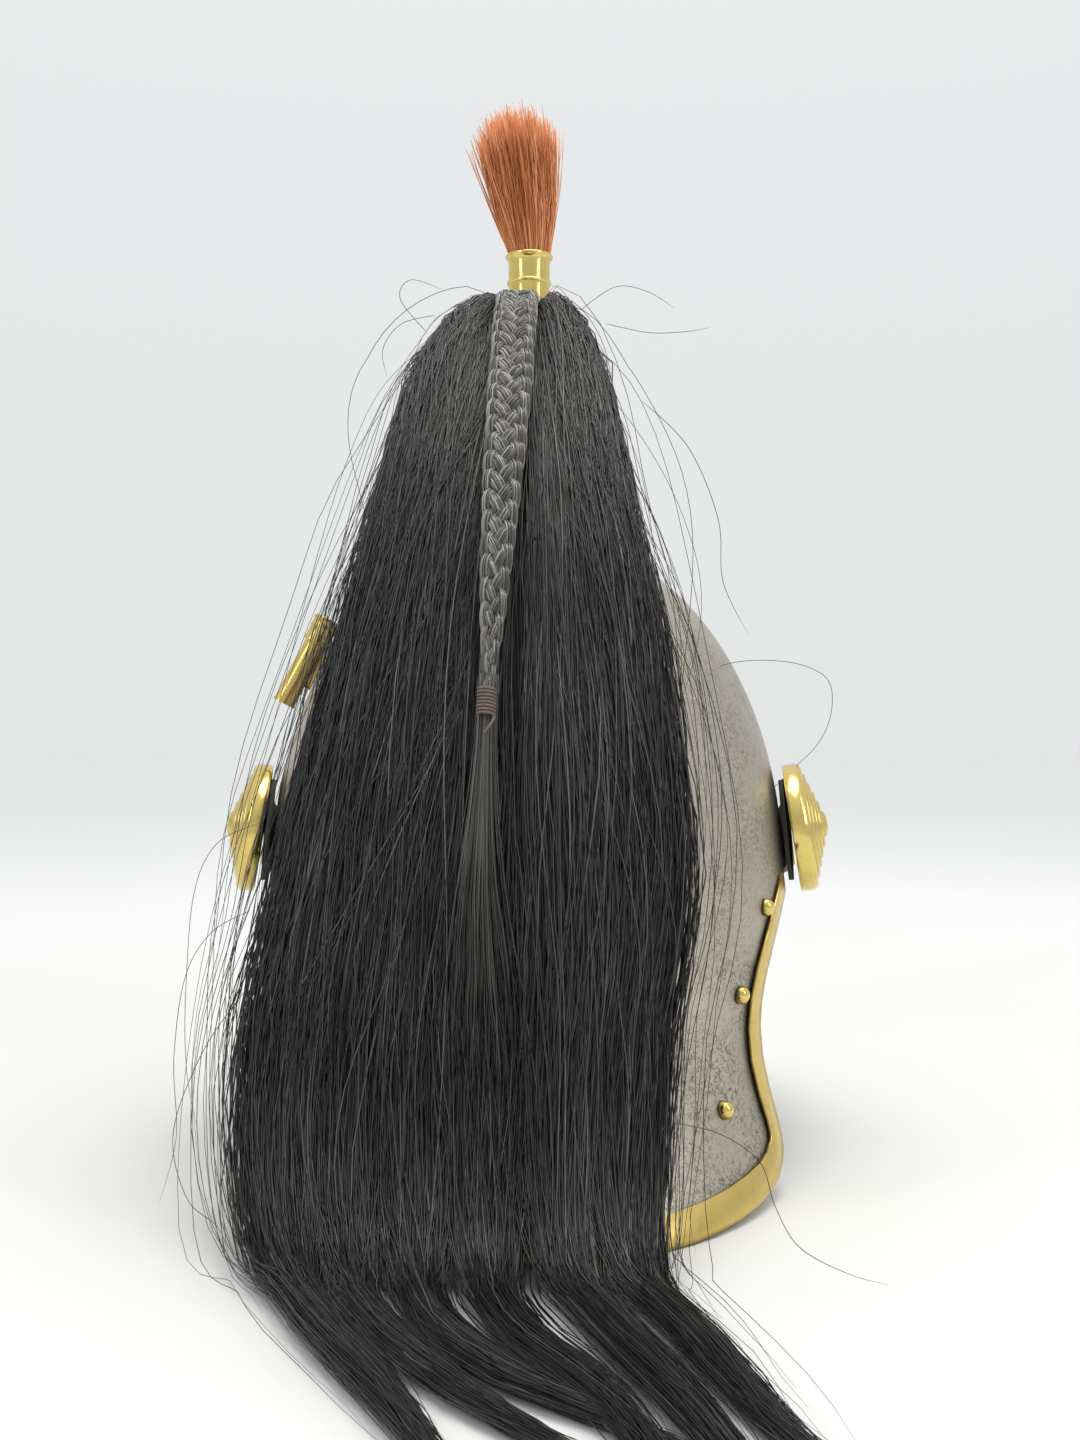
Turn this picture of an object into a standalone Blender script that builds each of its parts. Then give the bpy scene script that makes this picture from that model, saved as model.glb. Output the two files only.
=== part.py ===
"""A heavy cavalry helmet with a brass crest, a black horsehair mane and a red tuft.

Metres, +Z up. It stands on a table at Z 0, on the rim of its neck guard and the tip of its peak,
and the wearer faces -Y, so +X is the wearer's left. Y 0 is the middle of the whole footprint.
"""

import functools
import math
from collections import namedtuple

import bmesh
import bpy
from mathutils import Matrix, Vector

# Steel skull: an egg-shaped dome over a skirt that turns into the neck guard
skull_half_breadth = 0.1005
skull_front_reach = 0.121
skull_back_reach = 0.124
widest_level = 0.101
dome_height = 0.138
dome_fullness = 2.12
crown_forward = 0.007
steel = 0.0012
seat_gap = 0.0005

# Where the footprint's middle lies, ahead of which the skull's own middle stands
skull_middle = -0.0783

# Peak
peak_reach = 0.046
peak_half_turn = 69.0
peak_flange = 0.006
peak_sag = 0.004
peak_straightening = 0.35
peak_stations = 19

# Brass edging
edging_width = 0.0088
edging_inner_width = 0.0060
edging_metal = 0.0010
edging_gap = 0.0008
edging_start_reach = 0.335

# Front band and its badge
band_metal = 0.0010
band_gap = 0.0007
band_bead = 0.0008
band_half_turn = 88.0
band_stations = 25
badge_height = 0.040
badge_relief = 0.0045
badge_ball_share = 0.235
badge_tongues = 7
badge_fan_turn = 62.0
badge_points = 40

# Crest
crest_rise = 1.3766  # its top, as a share of the skull's
crest_base_half_width = 0.0165
crest_ridge_half_width = 0.0085
crest_metal = 0.0015
crest_gap = 0.0010
gadroon_depth = 0.0017
gadroon_count = 9
gadroon_stations = 3
crest_hollow_start = 0.13
crest_hollow_end = 0.86
crest_hollow_overrun = 0.006

# Tuft and the sleeve that holds it
sleeve_height = 0.0415
sleeve_radius = 0.0096
sleeve_lip_radius = 0.0106
sleeve_metal = 0.0009
sleeve_floor = 0.006
sleeve_share_forward = 0.545
tuft_height = 0.064
tuft_top_half_width = 0.0215
tuft_lean = 0.0075
tuft_locks = 8

# Rosettes, the chin strap's leather and its scales
rosette_radius = 0.0245
rosette_height = 0.0138
rosette_rim = 0.0056
rosette_turn = 101.0
rosette_level = 0.123
rosette_standoff = 0.0039
rosette_tilt = 3.0
strap_leather = 0.0018
strap_half_width = 0.0125
strap_end_half_width = 0.0085
strap_end_radius = 0.0200
strap_tip_half_width = 0.004
strap_stations = 19
scale_count = 8
scale_clear_turn = 12.0
scale_metal = 0.0010
scale_lift = 0.0013
clasp_half_length = 0.0085

# Plume socket
socket_turn = 97.0
socket_rise = 0.6087  # its middle, as a share of the dome's height
socket_length = 0.0375
socket_radius = 0.0043
socket_bore = 0.0031
socket_collar_radius = 0.0055
socket_collar_length = 0.0110
socket_standoff = 0.0068
socket_floor = 0.003
socket_foot_half_width = 0.0048
socket_foot_share = 0.62

# Rivets that hold the lining
rivet_radius = 0.0032
rivet_height = 0.0030

# Mane, the plait on its middle, and the thread that ties the plait
mane_gap = 0.0014
mane_ridge_margin = 0.0075
mane_lobes = 7
mane_lobe_height = 0.0016
groove_depth = 0.0042
groove_half_width = 0.0085
lock_half_width = 0.0100
lock_half_thickness = 0.0046
end_half_sides = 3
floor_gap = 0.0003
plait_half_width = 0.0084
plait_half_thickness = 0.0042
plait_end_half_width = 0.0034
plait_crossings = 13
plait_half_sides = 3
tie_radius = 0.0044
tie_length = 0.0100

# Mesh fineness
skull_half_columns = 18
dome_rows = 7
skirt_levels = 7
skirt_overrun = 0.004
rim_points = 24
rim_bend_share = 0.030
mane_stations = 21
mane_columns = 15
lock_stations = 8

# The skull below its widest level. Height is a share of that level, and the reaches are shares of the skull's
SkirtRow = namedtuple("SkirtRow", "height breadth back front")
skirt_rows = [
    SkirtRow(0.00, 1.085, 1.190, 0.940),
    SkirtRow(0.14, 1.052, 1.105, 0.942),
    SkirtRow(0.28, 1.022, 1.028, 0.947),
    SkirtRow(0.42, 1.002, 0.974, 0.955),
    SkirtRow(0.56, 0.992, 0.952, 0.966),
    SkirtRow(0.70, 0.993, 0.962, 0.980),
    SkirtRow(0.85, 0.998, 0.987, 0.993),
    SkirtRow(1.00, 1.000, 1.000, 1.000),
]

# The skull's lower edge in side view, from ahead of the brow to behind the nape. Reach is a share of the
# skull's back reach from its middle, and height a share of the widest level
EdgeRow = namedtuple("EdgeRow", "reach height")
edge_rows = [
    EdgeRow(-1.050, 0.590),
    EdgeRow(-0.870, 0.600),
    EdgeRow(-0.680, 0.640),
    EdgeRow(-0.445, 0.725),
    EdgeRow(-0.235, 0.858),
    EdgeRow(-0.040, 0.982),
    EdgeRow(0.120, 1.040),
    EdgeRow(0.240, 1.045),
    EdgeRow(0.345, 1.000),
    EdgeRow(0.440, 0.905),
    EdgeRow(0.502, 0.800),
    EdgeRow(0.540, 0.670),
    EdgeRow(0.552, 0.508),
    EdgeRow(0.555, 0.360),
    EdgeRow(0.562, 0.240),
    EdgeRow(0.592, 0.155),
    EdgeRow(0.650, 0.104),
    EdgeRow(0.730, 0.070),
    EdgeRow(0.850, 0.045),
    EdgeRow(0.980, 0.025),
    EdgeRow(1.080, 0.014),
    EdgeRow(1.160, 0.014),
    EdgeRow(1.400, 0.014),
]

# The front band. Heights are shares of the widest level
BandRow = namedtuple("BandRow", "turn low high")
band_rows = [
    BandRow(0.0, 0.675, 1.230),
    BandRow(14.0, 0.680, 1.170),
    BandRow(34.0, 0.708, 1.145),
    BandRow(56.0, 0.790, 1.185),
    BandRow(74.0, 0.940, 1.260),
    BandRow(88.0, 1.085, 1.330),
]

# The crest in side view. Base is the angle round the dome's middle from straight ahead; reach is a share of
# the skull's reach ahead (negative) or behind; rise is a share of the crest's height over the widest level
CrestRow = namedtuple("CrestRow", "base reach rise")
crest_rows = [
    CrestRow(12.0, -1.035, 0.135),
    CrestRow(19.0, -1.050, 0.200),
    CrestRow(30.0, -1.045, 0.325),
    CrestRow(42.0, -1.020, 0.480),
    CrestRow(52.0, -0.980, 0.640),
    CrestRow(60.0, -0.915, 0.790),
    CrestRow(66.0, -0.820, 0.910),
    CrestRow(71.0, -0.690, 0.982),
    CrestRow(76.0, -0.545, 1.000),
    CrestRow(81.0, -0.400, 0.997),
    CrestRow(87.0, -0.230, 0.985),
    CrestRow(94.0, 0.000, 0.950),
    CrestRow(105.0, 0.325, 0.858),
    CrestRow(118.0, 0.615, 0.718),
    CrestRow(131.0, 0.850, 0.545),
    CrestRow(144.0, 0.985, 0.370),
    CrestRow(155.0, 1.020, 0.235),
]

# The mane's sections, along its outer middle from behind the sleeve to the table. Reach is a share of the
# skull's back reach and height a share of its top. Tilt is how far the way out from the section leans from
# level, in degrees. The rest are shares of the skull's half breadth: left and right are the edges, the drops
# are how far they hang below the middle, and swell is how far the locks beside the plait stand over it
ManeRow = namedtuple("ManeRow", "reach height tilt left right left_drop right_drop thick swell")
mane_rows = [
    ManeRow(-0.235, 1.390, 84.0, 0.235, -0.175, 0.080, 0.080, 0.080, 0.010),
    ManeRow(-0.120, 1.385, 80.0, 0.360, -0.255, 0.130, 0.130, 0.100, 0.090),
    ManeRow(0.070, 1.360, 72.0, 0.440, -0.290, 0.180, 0.170, 0.125, 0.090),
    ManeRow(0.290, 1.300, 62.0, 0.475, -0.310, 0.230, 0.220, 0.150, 0.080),
    ManeRow(0.515, 1.195, 50.0, 0.515, -0.345, 0.290, 0.260, 0.170, 0.065),
    ManeRow(0.735, 1.060, 39.0, 0.570, -0.390, 0.330, 0.290, 0.175, 0.055),
    ManeRow(0.915, 0.905, 28.0, 0.640, -0.440, 0.370, 0.270, 0.165, 0.045),
    ManeRow(1.035, 0.740, 18.0, 0.715, -0.490, 0.400, 0.240, 0.150, 0.035),
    ManeRow(1.100, 0.570, 10.0, 0.800, -0.525, 0.430, 0.210, 0.130, 0.030),
    ManeRow(1.130, 0.415, 2.0, 0.865, -0.505, 0.430, 0.190, 0.115, 0.025),
    ManeRow(1.130, 0.285, 0.0, 0.930, -0.455, 0.400, 0.175, 0.105, 0.020),
    ManeRow(1.160, 0.170, 8.0, 0.960, -0.435, 0.330, 0.155, 0.095, 0.015),
    ManeRow(1.235, 0.090, 32.0, 0.930, -0.415, 0.260, 0.120, 0.090, 0.010),
    ManeRow(1.360, 0.052, 64.0, 0.810, -0.430, 0.110, 0.050, 0.085, 0.000),
    ManeRow(1.480, 0.042, 86.0, 0.720, -0.445, 0.020, 0.010, 0.080, 0.000),
]

# The loose ends on the table, which start inside the mane. Their places are shares of the skull's half
# breadth and back reach, and width is a share of a lock's
EndRow = namedtuple("EndRow", "x1 y1 x2 y2 x3 y3 x4 y4 width")
end_rows = [
    EndRow(0.700, 1.300, 0.560, 1.590, 0.290, 2.020, 0.030, 2.480, 1.10),
    EndRow(0.520, 1.310, 0.390, 1.600, 0.120, 1.950, -0.230, 2.260, 0.85),
    EndRow(0.320, 1.310, 0.230, 1.600, 0.000, 1.880, -0.400, 2.160, 0.95),
    EndRow(0.120, 1.310, 0.010, 1.650, -0.220, 1.990, -0.420, 2.540, 1.05),
    EndRow(-0.110, 1.310, -0.240, 1.630, -0.410, 2.020, -0.600, 2.600, 1.05),
    EndRow(-0.300, 1.310, -0.440, 1.610, -0.580, 2.020, -0.790, 2.440, 0.90),
]

# The plait: how far along the mane, its place across as a share of the skull's half breadth
PlaitRow = namedtuple("PlaitRow", "along across half_width")
plait_rows = [
    PlaitRow(0.085, 0.030, 0.80),
    PlaitRow(0.150, 0.035, 1.00),
    PlaitRow(0.300, 0.055, 0.98),
    PlaitRow(0.390, 0.078, 0.80),
    PlaitRow(0.455, 0.098, 0.55),
    PlaitRow(0.505, 0.114, 0.36),
]

# Rivets on each side: turn in degrees, and height as a share of the widest level
RivetRow = namedtuple("RivetRow", "turn height")
rivet_rows = [RivetRow(122.5, 0.975), RivetRow(132.0, 0.690), RivetRow(139.0, 0.330)]

# The middle of the chin strap from behind the rosette to the middle of the brow
StrapRow = namedtuple("StrapRow", "turn height stand")
strap_rows = [
    StrapRow(110.0, 1.215, 0.0019),
    StrapRow(101.0, 1.215, 0.0019),
    StrapRow(93.0, 1.195, 0.0028),
    StrapRow(84.0, 1.135, 0.0029),
    StrapRow(66.0, 0.995, 0.0029),
    StrapRow(46.0, 0.890, 0.0029),
    StrapRow(24.0, 0.830, 0.0029),
    StrapRow(0.0, 0.810, 0.0029),
]

# The crest's side from its foot to its ridge: share of its height, and how far a gadroon stands out there
GadroonRow = namedtuple("GadroonRow", "rise lift")
gadroon_rows = [
    GadroonRow(0.00, 0.00),
    GadroonRow(0.10, 0.35),
    GadroonRow(0.20, 0.10),
    GadroonRow(0.38, 1.00),
    GadroonRow(0.62, 0.95),
    GadroonRow(0.84, 0.45),
    GadroonRow(0.93, 0.00),
]

# A scale of the chin strap from its free end: share of its length, share of the strap's width, and lift
ScaleRow = namedtuple("ScaleRow", "place width lift")
scale_rows = [
    ScaleRow(0.03, 0.53, 1.00),
    ScaleRow(0.14, 0.85, 1.00),
    ScaleRow(0.40, 0.97, 0.75),
    ScaleRow(0.97, 0.95, 0.10),
]

# The tuft out of its sleeve: share of its height, and share of its greatest half width
TuftRow = namedtuple("TuftRow", "rise width")
tuft_rows = [
    TuftRow(0.05, 0.55),
    TuftRow(0.26, 0.82),
    TuftRow(0.48, 0.95),
    TuftRow(0.68, 1.00),
    TuftRow(0.86, 0.90),
    TuftRow(0.96, 0.62),
]

skull_top = widest_level + dome_height
crest_top = crest_rise * skull_top
socket_level = widest_level + socket_rise * dome_height


def smooth(rows, key, column, at):
    """A table's column at a value of its key column, on a curve through the rows."""
    keys = [getattr(row, key) for row in rows]
    values = [getattr(row, column) for row in rows]
    at = min(max(at, keys[0]), keys[-1])
    i = max(j for j in range(len(keys) - 1) if keys[j] <= at)

    def slope(j):
        before, after = max(j - 1, 0), min(j + 1, len(keys) - 1)
        return (values[after] - values[before]) / (keys[after] - keys[before])

    span = keys[i + 1] - keys[i]
    t = (at - keys[i]) / span
    return (
        (2 * t**3 - 3 * t**2 + 1) * values[i]
        + (t**3 - 2 * t**2 + t) * span * slope(i)
        + (3 * t**2 - 2 * t**3) * values[i + 1]
        + (t**3 - t**2) * span * slope(i + 1)
    )


def curve_through(points, steps):
    """Points on a smooth curve through the given ones, with that many steps between each two."""
    found = []
    for i in range(len(points) - 1):
        a, b, c, d = (points[min(max(j, 0), len(points) - 1)] for j in range(i - 1, i + 3))
        for k in range(steps):
            t = k / steps
            lower = 2 * b + (c - a) * t + (2 * a - 5 * b + 4 * c - d) * t**2
            found.append(0.5 * (lower + (3 * b - a - 3 * c + d) * t**3))
    return found + [points[-1].copy()]


def evenly(points, count, bend_share=0.0):
    """That many points along the given ones, the same distance apart but closer in the bends."""
    lengths = [0.0]
    for i in range(1, len(points)):
        step = points[i] - points[i - 1]
        before = points[i - 1] - points[max(i - 2, 0)]
        bend = before.angle(step, 0.0) if i > 1 else 0.0
        lengths.append(lengths[-1] + step.length + bend_share * bend)
    found, j = [], 0
    for k in range(count):
        wanted = lengths[-1] * k / (count - 1)
        while j < len(points) - 2 and lengths[j + 1] < wanted:
            j += 1
        t = (wanted - lengths[j]) / max(lengths[j + 1] - lengths[j], 1e-9)
        found.append(points[j].lerp(points[j + 1], min(t, 1.0)))
    return found


def fan(last, count):
    """That many evenly spaced turns from one side to the other."""
    return [last * (2 * k / (count - 1) - 1) for k in range(count)]


def clear_scene():
    for obj in list(bpy.data.objects):
        bpy.data.objects.remove(obj)


def make_material(name, colour, roughness, metallic):
    made = bpy.data.materials.new(name)
    made.use_nodes = True
    shader = made.node_tree.nodes["Principled BSDF"]
    shader.inputs["Base Color"].default_value = (*colour, 1.0)
    shader.inputs["Roughness"].default_value = roughness
    shader.inputs["Metallic"].default_value = metallic
    return made


def add_object(name, mesh, finish, collection, smooth_angle=35.0):
    """A named object of the helmet with its finish, smooth but for its sharp edges."""
    obj = bpy.data.objects.new(name, mesh)
    collection.objects.link(obj)
    if not mesh.materials:
        mesh.materials.append(finish)
    mesh.shade_smooth()
    mesh.set_sharp_from_angle(angle=math.radians(smooth_angle))
    return obj


def mesh_from(name, points, faces):
    mesh = bpy.data.meshes.new(name)
    mesh.from_pydata([tuple(p) for p in points], [], faces)
    made = bmesh.new()
    made.from_mesh(mesh)
    bmesh.ops.recalc_face_normals(made, faces=made.faces)
    made.to_mesh(mesh)
    made.free()
    return mesh


def loft(name, sections):
    """A closed body through sections with the same number of points, with its two ends filled."""
    count = len(sections[0])
    points = [p for section in sections for p in section]
    faces = []
    for s in range(len(sections) - 1):
        for k in range(count):
            n = (k + 1) % count
            faces.append((s * count + k, s * count + n, (s + 1) * count + n, (s + 1) * count + k))
    faces.append(tuple(range(count))[::-1])
    faces.append(tuple(range((len(sections) - 1) * count, len(sections) * count)))
    return mesh_from(name, points, faces)


def turned(name, profile, steps, finish, collection):
    """A body turned about its own Z from (radius, height) points that run down its outer side."""
    mesh = bpy.data.meshes.new(name)
    mesh.from_pydata([(r, 0.0, h) for r, h in profile], [(i, i + 1) for i in range(len(profile) - 1)], [])
    obj = add_object(name, mesh, finish, collection)
    screw = obj.modifiers.new("Turn", "SCREW")
    screw.steps = screw.render_steps = steps
    screw.use_merge_vertices = True
    screw.merge_threshold = 0.00002
    return obj


def standing_on(obj, place, axis, ahead):
    """Puts an object's Z along axis at a place, with its X as near as can be to ahead."""
    z = axis.normalized()
    x = (ahead - z * ahead.dot(z)).normalized()
    obj.matrix_world = Matrix.Translation(place) @ Matrix((x, z.cross(x), z)).transposed().to_4x4()


def section(z):
    """Half breadth, front reach, back reach and the middle's Y of the skull's outline at a height."""
    if z < widest_level:
        share = max(z, 0.0) / widest_level
        breadth = smooth(skirt_rows, "height", "breadth", share)
        front = smooth(skirt_rows, "height", "front", share)
        back = smooth(skirt_rows, "height", "back", share)
        forward = 0.0
    else:
        share = min((z - widest_level) / dome_height, 1.0)
        breadth = front = back = (1 - share**dome_fullness) ** (1 / dome_fullness)
        forward = crown_forward * share
    return (
        skull_half_breadth * breadth,
        skull_front_reach * front,
        skull_back_reach * back,
        skull_middle - forward,
    )


def bare_shell_point(turn, z):
    breadth, front, back, middle = section(z)
    angle = math.radians(turn)
    reach = front if math.cos(angle) > 0 else back
    return Vector((breadth * math.sin(angle), middle - reach * math.cos(angle), z))


def shell_normal(turn, z):
    step = 0.0006
    low, high = max(z - step, 0.0), min(z + step, skull_top - 1e-6)
    across = bare_shell_point(turn + 0.4, z) - bare_shell_point(turn - 0.4, z)
    upward = bare_shell_point(turn, high) - bare_shell_point(turn, low)
    return across.cross(upward).normalized()


def shell_point(turn, z, stand=0.0):
    """A point on the skull's outside: turn in degrees from straight ahead towards the wearer's left."""
    return bare_shell_point(turn, z) + shell_normal(turn, z) * stand


def turn_of(point):
    """The turn at which a point lies, seen from the skull's middle at its own height."""
    breadth, front, back, middle = section(point.z)
    ahead = middle - point.y
    return math.degrees(math.atan2(point.x / breadth, ahead / (front if ahead > 0 else back)))


def clear_of_shell(point, stand):
    """The point itself, or one moved straight out from the skull so that it stands off by that much."""
    if point.z >= skull_top:
        return point
    turn = turn_of(point)
    limit = shell_point(turn, point.z, stand)
    centre = Vector((0.0, section(point.z)[3], point.z))
    return limit if (point - centre).length < (limit - centre).length else point


def dome_side_point(angle, x):
    """A point on the dome above x, at an angle round its middle from straight ahead over the top."""
    direction = Vector((0.0, -math.cos(math.radians(angle)), math.sin(math.radians(angle))))
    near, far = 0.3 * dome_height, 1.5 * dome_height
    for _ in range(40):
        middle_reach = (near + far) / 2
        point = Vector((x, skull_middle, widest_level)) + direction * middle_reach
        breadth, front, back, middle = section(min(point.z, skull_top - 1e-6))
        reach = front if point.y < middle else back
        inside = point.z < skull_top and (x / breadth) ** 2 + ((point.y - middle) / reach) ** 2 < 1
        near, far = (middle_reach, far) if inside else (near, middle_reach)
    return Vector((x, skull_middle, widest_level)) + direction * (near + crest_gap)


def edge_level(y):
    """Height of the skull's lower edge ahead of the ear, at a Y."""
    return smooth(edge_rows, "reach", "height", (y - skull_middle) / skull_back_reach) * widest_level


def brow_level(turn):
    """Height of the skull's lower edge over the brow, at a turn from straight ahead."""
    z = edge_rows[0].height * widest_level
    for _ in range(6):
        z = edge_level(bare_shell_point(turn, z).y)
    return z


def edge_outline(first, last, steps):
    """The lower edge in side view between two reaches, as points with no X."""
    spots = []
    for row in edge_rows:
        spots.append(Vector((0.0, skull_middle + row.reach * skull_back_reach, row.height * widest_level)))
    fine = curve_through(spots, steps)
    low, high = (skull_middle + reach * skull_back_reach for reach in (first, last))
    return [p for p in fine if low <= p.y <= high]


def rim_path(count):
    """Evenly spaced points of the lower edge on the skull, from behind the ear to the middle of the nape."""
    path = []
    for p in edge_outline(edging_start_reach, 1.3, 40):
        breadth, front, back, middle = section(p.z)
        inside = 1 - ((p.y - middle) / back) ** 2
        if inside < 0:
            break
        path.append(Vector((breadth * math.sqrt(inside), p.y, p.z)))
    path.append(Vector((0.0, section(path[-1].z)[3] + section(path[-1].z)[2], path[-1].z)))
    return evenly(path, count, rim_bend_share)


def skull_levels():
    """Heights of the skull's rows from just under its top to below the table, where the opening is cut."""
    dome = [
        widest_level + dome_height * math.cos(math.pi / 2 * k / dome_rows) ** (2 / dome_fullness)
        for k in range(1, dome_rows)
    ]
    skirt = [widest_level * (1 - k / skirt_levels) for k in range(skirt_levels)]
    return dome + skirt + [0.0, -skirt_overrun]


def build_skull(finish, collection, cutters):
    """Half of the dome and its skirt as an open sheet, mirrored, thickened and cut to its lower edge."""
    levels = skull_levels()
    points, faces = [Vector((0.0, skull_middle - crown_forward, skull_top))], []
    for z in levels:
        for column in range(skull_half_columns + 1):
            points.append(bare_shell_point(180.0 * column / skull_half_columns, z))
            if column in (0, skull_half_columns):
                points[-1].x = 0.0
    width = skull_half_columns + 1
    for column in range(skull_half_columns):
        faces.append((0, 1 + column, 2 + column))
        for row in range(len(levels) - 1):
            corner = 1 + row * width + column
            faces.append((corner, corner + width, corner + width + 1, corner + 1))
    mesh = bpy.data.meshes.new("skull")
    mesh.from_pydata([tuple(p) for p in points], [], faces)
    obj = add_object("skull", mesh, finish, collection)
    mirror = obj.modifiers.new("Other side", "MIRROR")
    mirror.merge_threshold = 0.0001
    wall = obj.modifiers.new("Plate", "SOLIDIFY")
    wall.thickness = steel
    wall.offset = -1.0
    opening = add_object("skull_opening", opening_mesh(), finish, cutters)
    hide_cutter(opening)
    cut = obj.modifiers.new("Opening", "BOOLEAN")
    cut.operation = "DIFFERENCE"
    cut.object = opening
    return obj


def opening_mesh():
    """All that lies under the lower edge, as a slab that runs from side to side."""
    edge = edge_outline(edge_rows[0].reach, edge_rows[-1].reach, 5)
    below = [edge[-1].copy(), edge[0].copy()]
    for p in below:
        p.z = -5 * skirt_overrun
    beside = Vector((skull_half_breadth * 1.4, 0.0, 0.0))
    right = [p - beside for p in edge + below]
    left = [p + beside for p in edge + below]
    return loft("skull_opening", [right, left])


def edging_section(edge, along, within):
    """The folded strip's outline round the plate's edge: two legs along the plate, and a nose."""
    at = turn_of(edge)
    normal = shell_normal(at, edge.z)
    away = along.cross(normal).normalized()
    if away.dot(within - edge) > 0:
        away = -away

    def on_plate(inward, stand):
        spot = edge - away * inward
        turn = turn_of(spot)
        z = max(spot.z, 0.0)
        return bare_shell_point(turn, z) + shell_normal(turn, z) * stand

    outer, outer_face = edging_gap, edging_gap + edging_metal
    inner, inner_face = -steel - edging_gap, -steel - edging_gap - edging_metal
    nose = edging_gap + edging_metal
    return [
        on_plate(edging_width, outer),
        on_plate(edging_width, outer_face),
        edge + normal * outer_face,
        edge + normal * (outer_face - edging_metal) + away * nose,
        edge + normal * (inner_face + edging_metal) + away * nose,
        edge + normal * inner_face,
        on_plate(edging_inner_width, inner_face),
        on_plate(edging_inner_width, inner),
        edge + normal * inner + away * edging_gap,
        edge + normal * outer + away * edging_gap,
    ]


def build_neck_edging(finish, collection):
    """Brass strip round the neck guard, from rosette to rosette, filed flat at the table."""
    half = rim_path(rim_points)
    path = half + [Vector((-p.x, p.y, p.z)) for p in reversed(half[:-1])]
    nape = Vector((0.0, skull_middle + skull_back_reach, widest_level * 1.2))
    sections = []
    for i, spot in enumerate(path):
        along = path[min(i + 1, len(path) - 1)] - path[max(i - 1, 0)]
        outline = edging_section(spot, along.normalized(), nape)
        for p in outline:
            p.z = max(p.z, 0.0)
        sections.append(outline)
    return add_object("neck_edging", loft("neck_edging", sections), finish, collection)


def peak_point(turn, down):
    """A point on the peak's upper face: 0 under the band, 1 at its edge."""
    share = max(math.cos(math.radians(90.0 * turn / peak_half_turn)), 0.0)
    brow = brow_level(turn)
    root = shell_point(turn, brow, seat_gap + steel)
    outward = Vector((root.x, root.y - skull_middle, 0.0)).normalized()
    outward = outward.lerp(Vector((0.0, -1.0, 0.0)), peak_straightening).normalized()
    tip_z = edging_metal + seat_gap
    drop = (brow - tip_z) * share**0.85
    reach = peak_reach * share**0.75
    sag = peak_sag * share * math.sin(math.pi * down)
    return root + outward * (reach * down - sag) - Vector((0.0, 0.0, drop * down + sag * 0.6))


def peak_grid(turns, downs):
    """Rows of the peak from its flange, which stands against the skull, to its edge."""
    grid = []
    for turn in turns:
        flange = shell_point(turn, brow_level(turn) + peak_flange, seat_gap + steel)
        grid.append([flange] + [peak_point(turn, down) for down in downs])
    return grid


def build_peak(finish, collection):
    """Steel peak: a sheet with an upturned flange, given its thickness on the side of the skull."""
    grid = peak_grid(fan(peak_half_turn - 1.5, peak_stations), [0.0, 0.12, 0.3, 0.55, 0.8, 1.0])
    width = len(grid[0])
    points = [p for row in grid for p in row]
    faces = []
    for i in range(len(grid) - 1):
        for j in range(width - 1):
            corner = i * width + j
            faces.append((corner, corner + 1, corner + width + 1, corner + width))
    mesh = bpy.data.meshes.new("peak")
    mesh.from_pydata([tuple(p) for p in points], [], faces)
    obj = add_object("peak", mesh, finish, collection)
    wall = obj.modifiers.new("Plate", "SOLIDIFY")
    wall.thickness = steel
    wall.offset = -1.0
    return obj


def build_peak_edging(finish, collection):
    """Brass strip folded round the peak's edge, filed flat where its tip meets the table."""
    turns = fan(peak_half_turn - 4.0, peak_stations)
    edge = [peak_point(turn, 1.0) for turn in turns]
    sections = []
    for i, turn in enumerate(turns):
        along = (edge[min(i + 1, len(edge) - 1)] - edge[max(i - 1, 0)]).normalized()
        back = peak_point(turn, 0.9) - edge[i]
        away = -(back - along * back.dot(along)).normalized()
        normal = along.cross(away).normalized()
        if normal.z < 0:
            normal = -normal
        length = max((peak_point(turn, 0.0) - edge[i]).length, 0.001)
        outer_share = min(edging_width / length, 0.8)
        inner_share = min(edging_inner_width / length, 0.7)

        def leg(share, stand):
            return peak_point(turn, 1.0 - share) + normal * stand

        top, bottom = edging_gap, -steel - edging_gap
        outline = [
            leg(outer_share, top),
            leg(outer_share, top + edging_metal),
            edge[i] + normal * (top + edging_metal),
            edge[i] + away * (edging_gap + edging_metal),
            edge[i] + away * (edging_gap + edging_metal) - normal * steel,
            edge[i] + normal * (bottom - edging_metal),
            leg(inner_share, bottom - edging_metal),
            leg(inner_share, bottom),
            edge[i] + away * edging_gap + normal * bottom,
            edge[i] + away * edging_gap + normal * top,
        ]
        for p in outline:
            p.z = max(p.z, 0.0)
        sections.append(outline)
    return add_object("peak_edging", loft("peak_edging", sections), finish, collection)


def build_band(finish, collection):
    """Brass plate across the brow, with a bead along each edge, from rosette to rosette."""
    sections = []
    face = band_gap + band_metal
    lower_bead = [(0.0, face), (0.03, face + band_bead), (0.07, face + band_bead), (0.10, face)]
    upper_bead = [(1 - share, stand) for share, stand in reversed(lower_bead)]
    back = [(share, band_gap) for share in (1.0, 0.67, 0.33, 0.0)]
    for turn in fan(band_half_turn, band_stations):
        low = smooth(band_rows, "turn", "low", abs(turn)) * widest_level
        high = smooth(band_rows, "turn", "high", abs(turn)) * widest_level
        outline = lower_bead + upper_bead + back
        sections.append([shell_point(turn, low + (high - low) * share, stand) for share, stand in outline])
    return add_object("front_band", loft("front_band", sections), finish, collection)


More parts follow.
